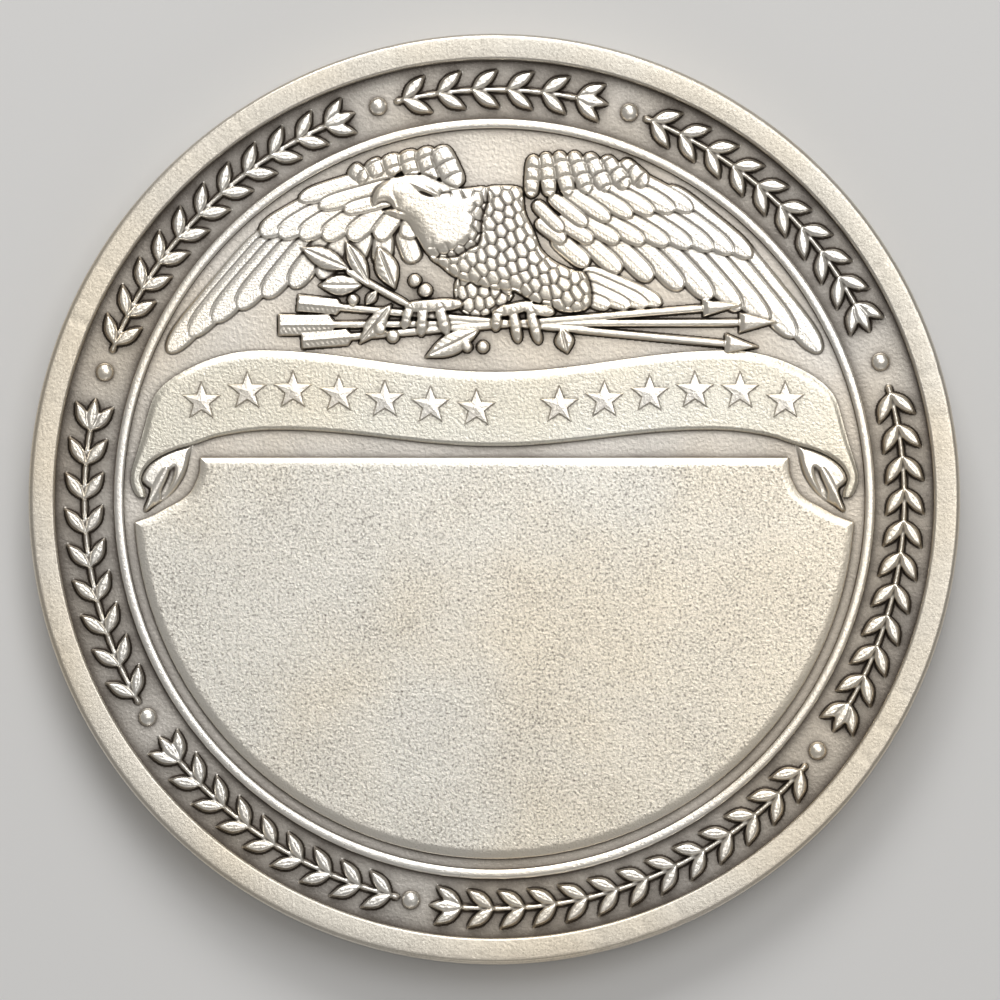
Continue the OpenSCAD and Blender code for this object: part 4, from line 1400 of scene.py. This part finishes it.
@dataclass
class Reverse(Part):
    """Generic reverse: a faceted star inside an open wreath."""

    wreath_r: float = 13.2
    leaf: float = 3.1
    pairs: int = 11
    start: float = 170.0
    end: float = 31.0
    lean: float = 30.0
    grid: float = 0.07

    def build(self) -> None:
        """Builds and dresses the star and the wreath."""
        self._wreath()
        self.settle(self._star(), self.finishes.relief, "reverse_star")

    def _wreath(self) -> None:
        """Sinks and strikes both branches."""
        a, s = self.sizes.art, self.sizes
        for side, flip in (("right", 1.0), ("left", -1.0)):
            node = f"reverse_wreath_{side}"
            box = np.array(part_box(node)) / MM
            level = 0.92 * (box[1, 2] - box[0, 2])
            die = Die(tuple(box[0, :2] - 0.4), tuple(box[1, :2] + 0.4), self.grid)
            stem = np.linspace(self.start + 5, self.end - 2, 60)
            for b, c in zip(stem[:-1], stem[1:]):
                ends = [on_dial(a * self.wreath_r, v) for v in (b + 0.3, c - 0.3)]
                ends = [(flip * x, y) for x, y in ends]
                die.lay_blade(node, Blade(ends[0], ends[1], 0.4 * a, 8.0), RodSkin(0.7 * level))
            for p in range(self.pairs):
                at = self.start + (self.end - self.start) * p / (self.pairs - 1)
                root = on_dial(a * self.wreath_r, at)
                for turn in (-self.lean, self.lean) if p < self.pairs - 1 else (-self.lean, self.lean, 0.0):
                    way = math.radians(at + turn)
                    tip = (root[0] - a * self.leaf * math.cos(way), root[1] + a * self.leaf * math.sin(way))
                    blade = Blade((flip * root[0], root[1]), (flip * tip[0], tip[1]), 1.15 * a)
                    die.lay_blade(node, blade, LeafSkin(level, edge=0.4, vein_pitch=0.5))
            for piece in die.strike("_struck", s.reverse_z, facing=-1):
                self.settle(piece, self.finishes.relief, piece.name.removesuffix("_struck"))

    def _star(self) -> bpy.types.Object:
        """Large star with a ridge to every point."""
        box = np.array(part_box("reverse_star")) / MM
        outer = box[1, 1]
        foot, top = box[1, 2], box[0, 2]
        rings = []
        for share, z in ((1.0, foot), (1.0, foot - 0.08), (0.93, foot - 0.12)):
            rings.append([(*on_dial(share * (outer if i % 2 == 0 else 0.4 * outer), 36 * i), z)
                          for i in range(10)])
        points = np.array(rings[0] + rings[1] + rings[2] + [(0.0, 0.0, top)])
        i = np.arange(10)
        sides = ring_faces(3, 10, False)
        roof = np.stack([i + 20, (i + 1) % 10 + 20, np.full(10, 30)], axis=1)
        return make_piece("reverse_star_struck", points, [sides, roof, i[::-1][None, :]], 5.0)


# ---------------------------------------------------------------------------
# Studio
# ---------------------------------------------------------------------------

@dataclass(frozen=True)
class Softbox:
    """Rectangular light that faces the coin."""

    name: str
    place: tuple[float, float, float]
    size: Point
    power: float
    colour: tuple[float, float, float] = (1.0, 1.0, 1.0)

    def hang(self) -> None:
        """Adds the light."""
        light = bpy.data.lights.new(self.name, "AREA")
        light.shape, light.energy, light.color = "RECTANGLE", self.power, self.colour
        light.size, light.size_y = self.size
        lamp = bpy.data.objects.new(self.name, light)
        lamp.location = self.place
        lamp.rotation_euler = (-Vector(self.place)).to_track_quat("-Z", "Y").to_euler()
        bpy.context.scene.collection.objects.link(lamp)


@dataclass
class Studio:
    """Pale floor, soft light and a camera almost straight above the coin."""

    boxes: tuple[Softbox, ...] = (
        Softbox("key_softbox", (-0.03, 0.30, 0.26), (0.22, 0.16), 0.66),
        Softbox("top_softbox", (0.07, 0.11, 0.40), (0.22, 0.20), 0.36),
        Softbox("low_fill", (0.05, -0.34, 0.22), (0.2, 0.12), 0.05, (1.0, 0.97, 0.93)),
    )
    elevation: float = 87.5
    distance: float = 0.6
    frame_share: float = 0.9314
    aside: float = 0.00027
    lower: float = -0.00008
    world: float = 0.30

    def build(self, radius: float, middle: float) -> None:
        """Sets the floor, the light and the camera.

        Args:
            radius: Radius of the coin in metres.
            middle: Height that the camera looks at, in metres.
        """
        self._floor()
        self._world()
        for box in self.boxes:
            box.hang()
        self._camera(radius, middle)

    def _floor(self) -> None:
        """Lays a plain pale floor under the coin."""
        mesh = bpy.data.meshes.new("floor")
        size = 1.5
        corners = [(-size, -size, 0), (size, -size, 0), (size, size, 0), (-size, size, 0)]
        mesh.from_pydata(corners, [], [(0, 1, 2, 3)])
        floor = bpy.data.objects.new("floor", mesh)
        bpy.context.scene.collection.objects.link(floor)
        g = Graph("pale_floor")
        shader = g.wire("ShaderNodeBsdfPrincipled", None, {"Base Color": (0.78, 0.775, 0.765), "Roughness": 0.85},
                        out="BSDF")
        g.node("ShaderNodeOutputMaterial", None, {"Surface": shader})
        mesh.materials.append(g.material)

    def _world(self) -> None:
        """Fills the room with even light."""
        world = bpy.data.worlds.new("room")
        world.use_nodes = True
        background = world.node_tree.nodes["Background"]
        background.inputs["Color"].default_value = (1.0, 0.985, 0.965, 1.0)
        background.inputs["Strength"].default_value = self.world
        bpy.context.scene.world = world
        bpy.context.scene.view_settings.view_transform = "Standard"

    def _camera(self, radius: float, middle: float) -> None:
        """Frames the coin from almost straight above."""
        data = bpy.data.cameras.new("camera")
        camera = bpy.data.objects.new("camera", data)
        angle = math.radians(self.elevation)
        target = Vector((self.aside, self.lower, middle))
        camera.location = target + Vector((0.0, -math.cos(angle), math.sin(angle))) * self.distance
        camera.rotation_euler = (target - camera.location).to_track_quat("-Z", "Y").to_euler()
        data.lens = data.sensor_width * self.distance * self.frame_share / (2 * radius)
        data.clip_start, data.clip_end = 0.01, 10.0
        bpy.context.scene.collection.objects.link(camera)
        bpy.context.scene.camera = camera


def main() -> None:
    """Builds every sub-assembly over the frame, then the studio."""
    logging.basicConfig(level=logging.INFO, format="%(message)s", stream=sys.stdout)
    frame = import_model()
    nodes = frame["nodes"]
    sizes, finishes = Sizes.of_frame(nodes), Finishes()
    for kind in (Blank, LaurelLegend, Panel, Ribbon, Eagle, Reverse):
        LOG.info("-- %s", kind.__name__)
        kind(nodes, sizes, finishes).build()
    Studio().build(sizes.radius * MM, 0.9 * sizes.thickness * MM)


if __name__ == "__main__":
    main()
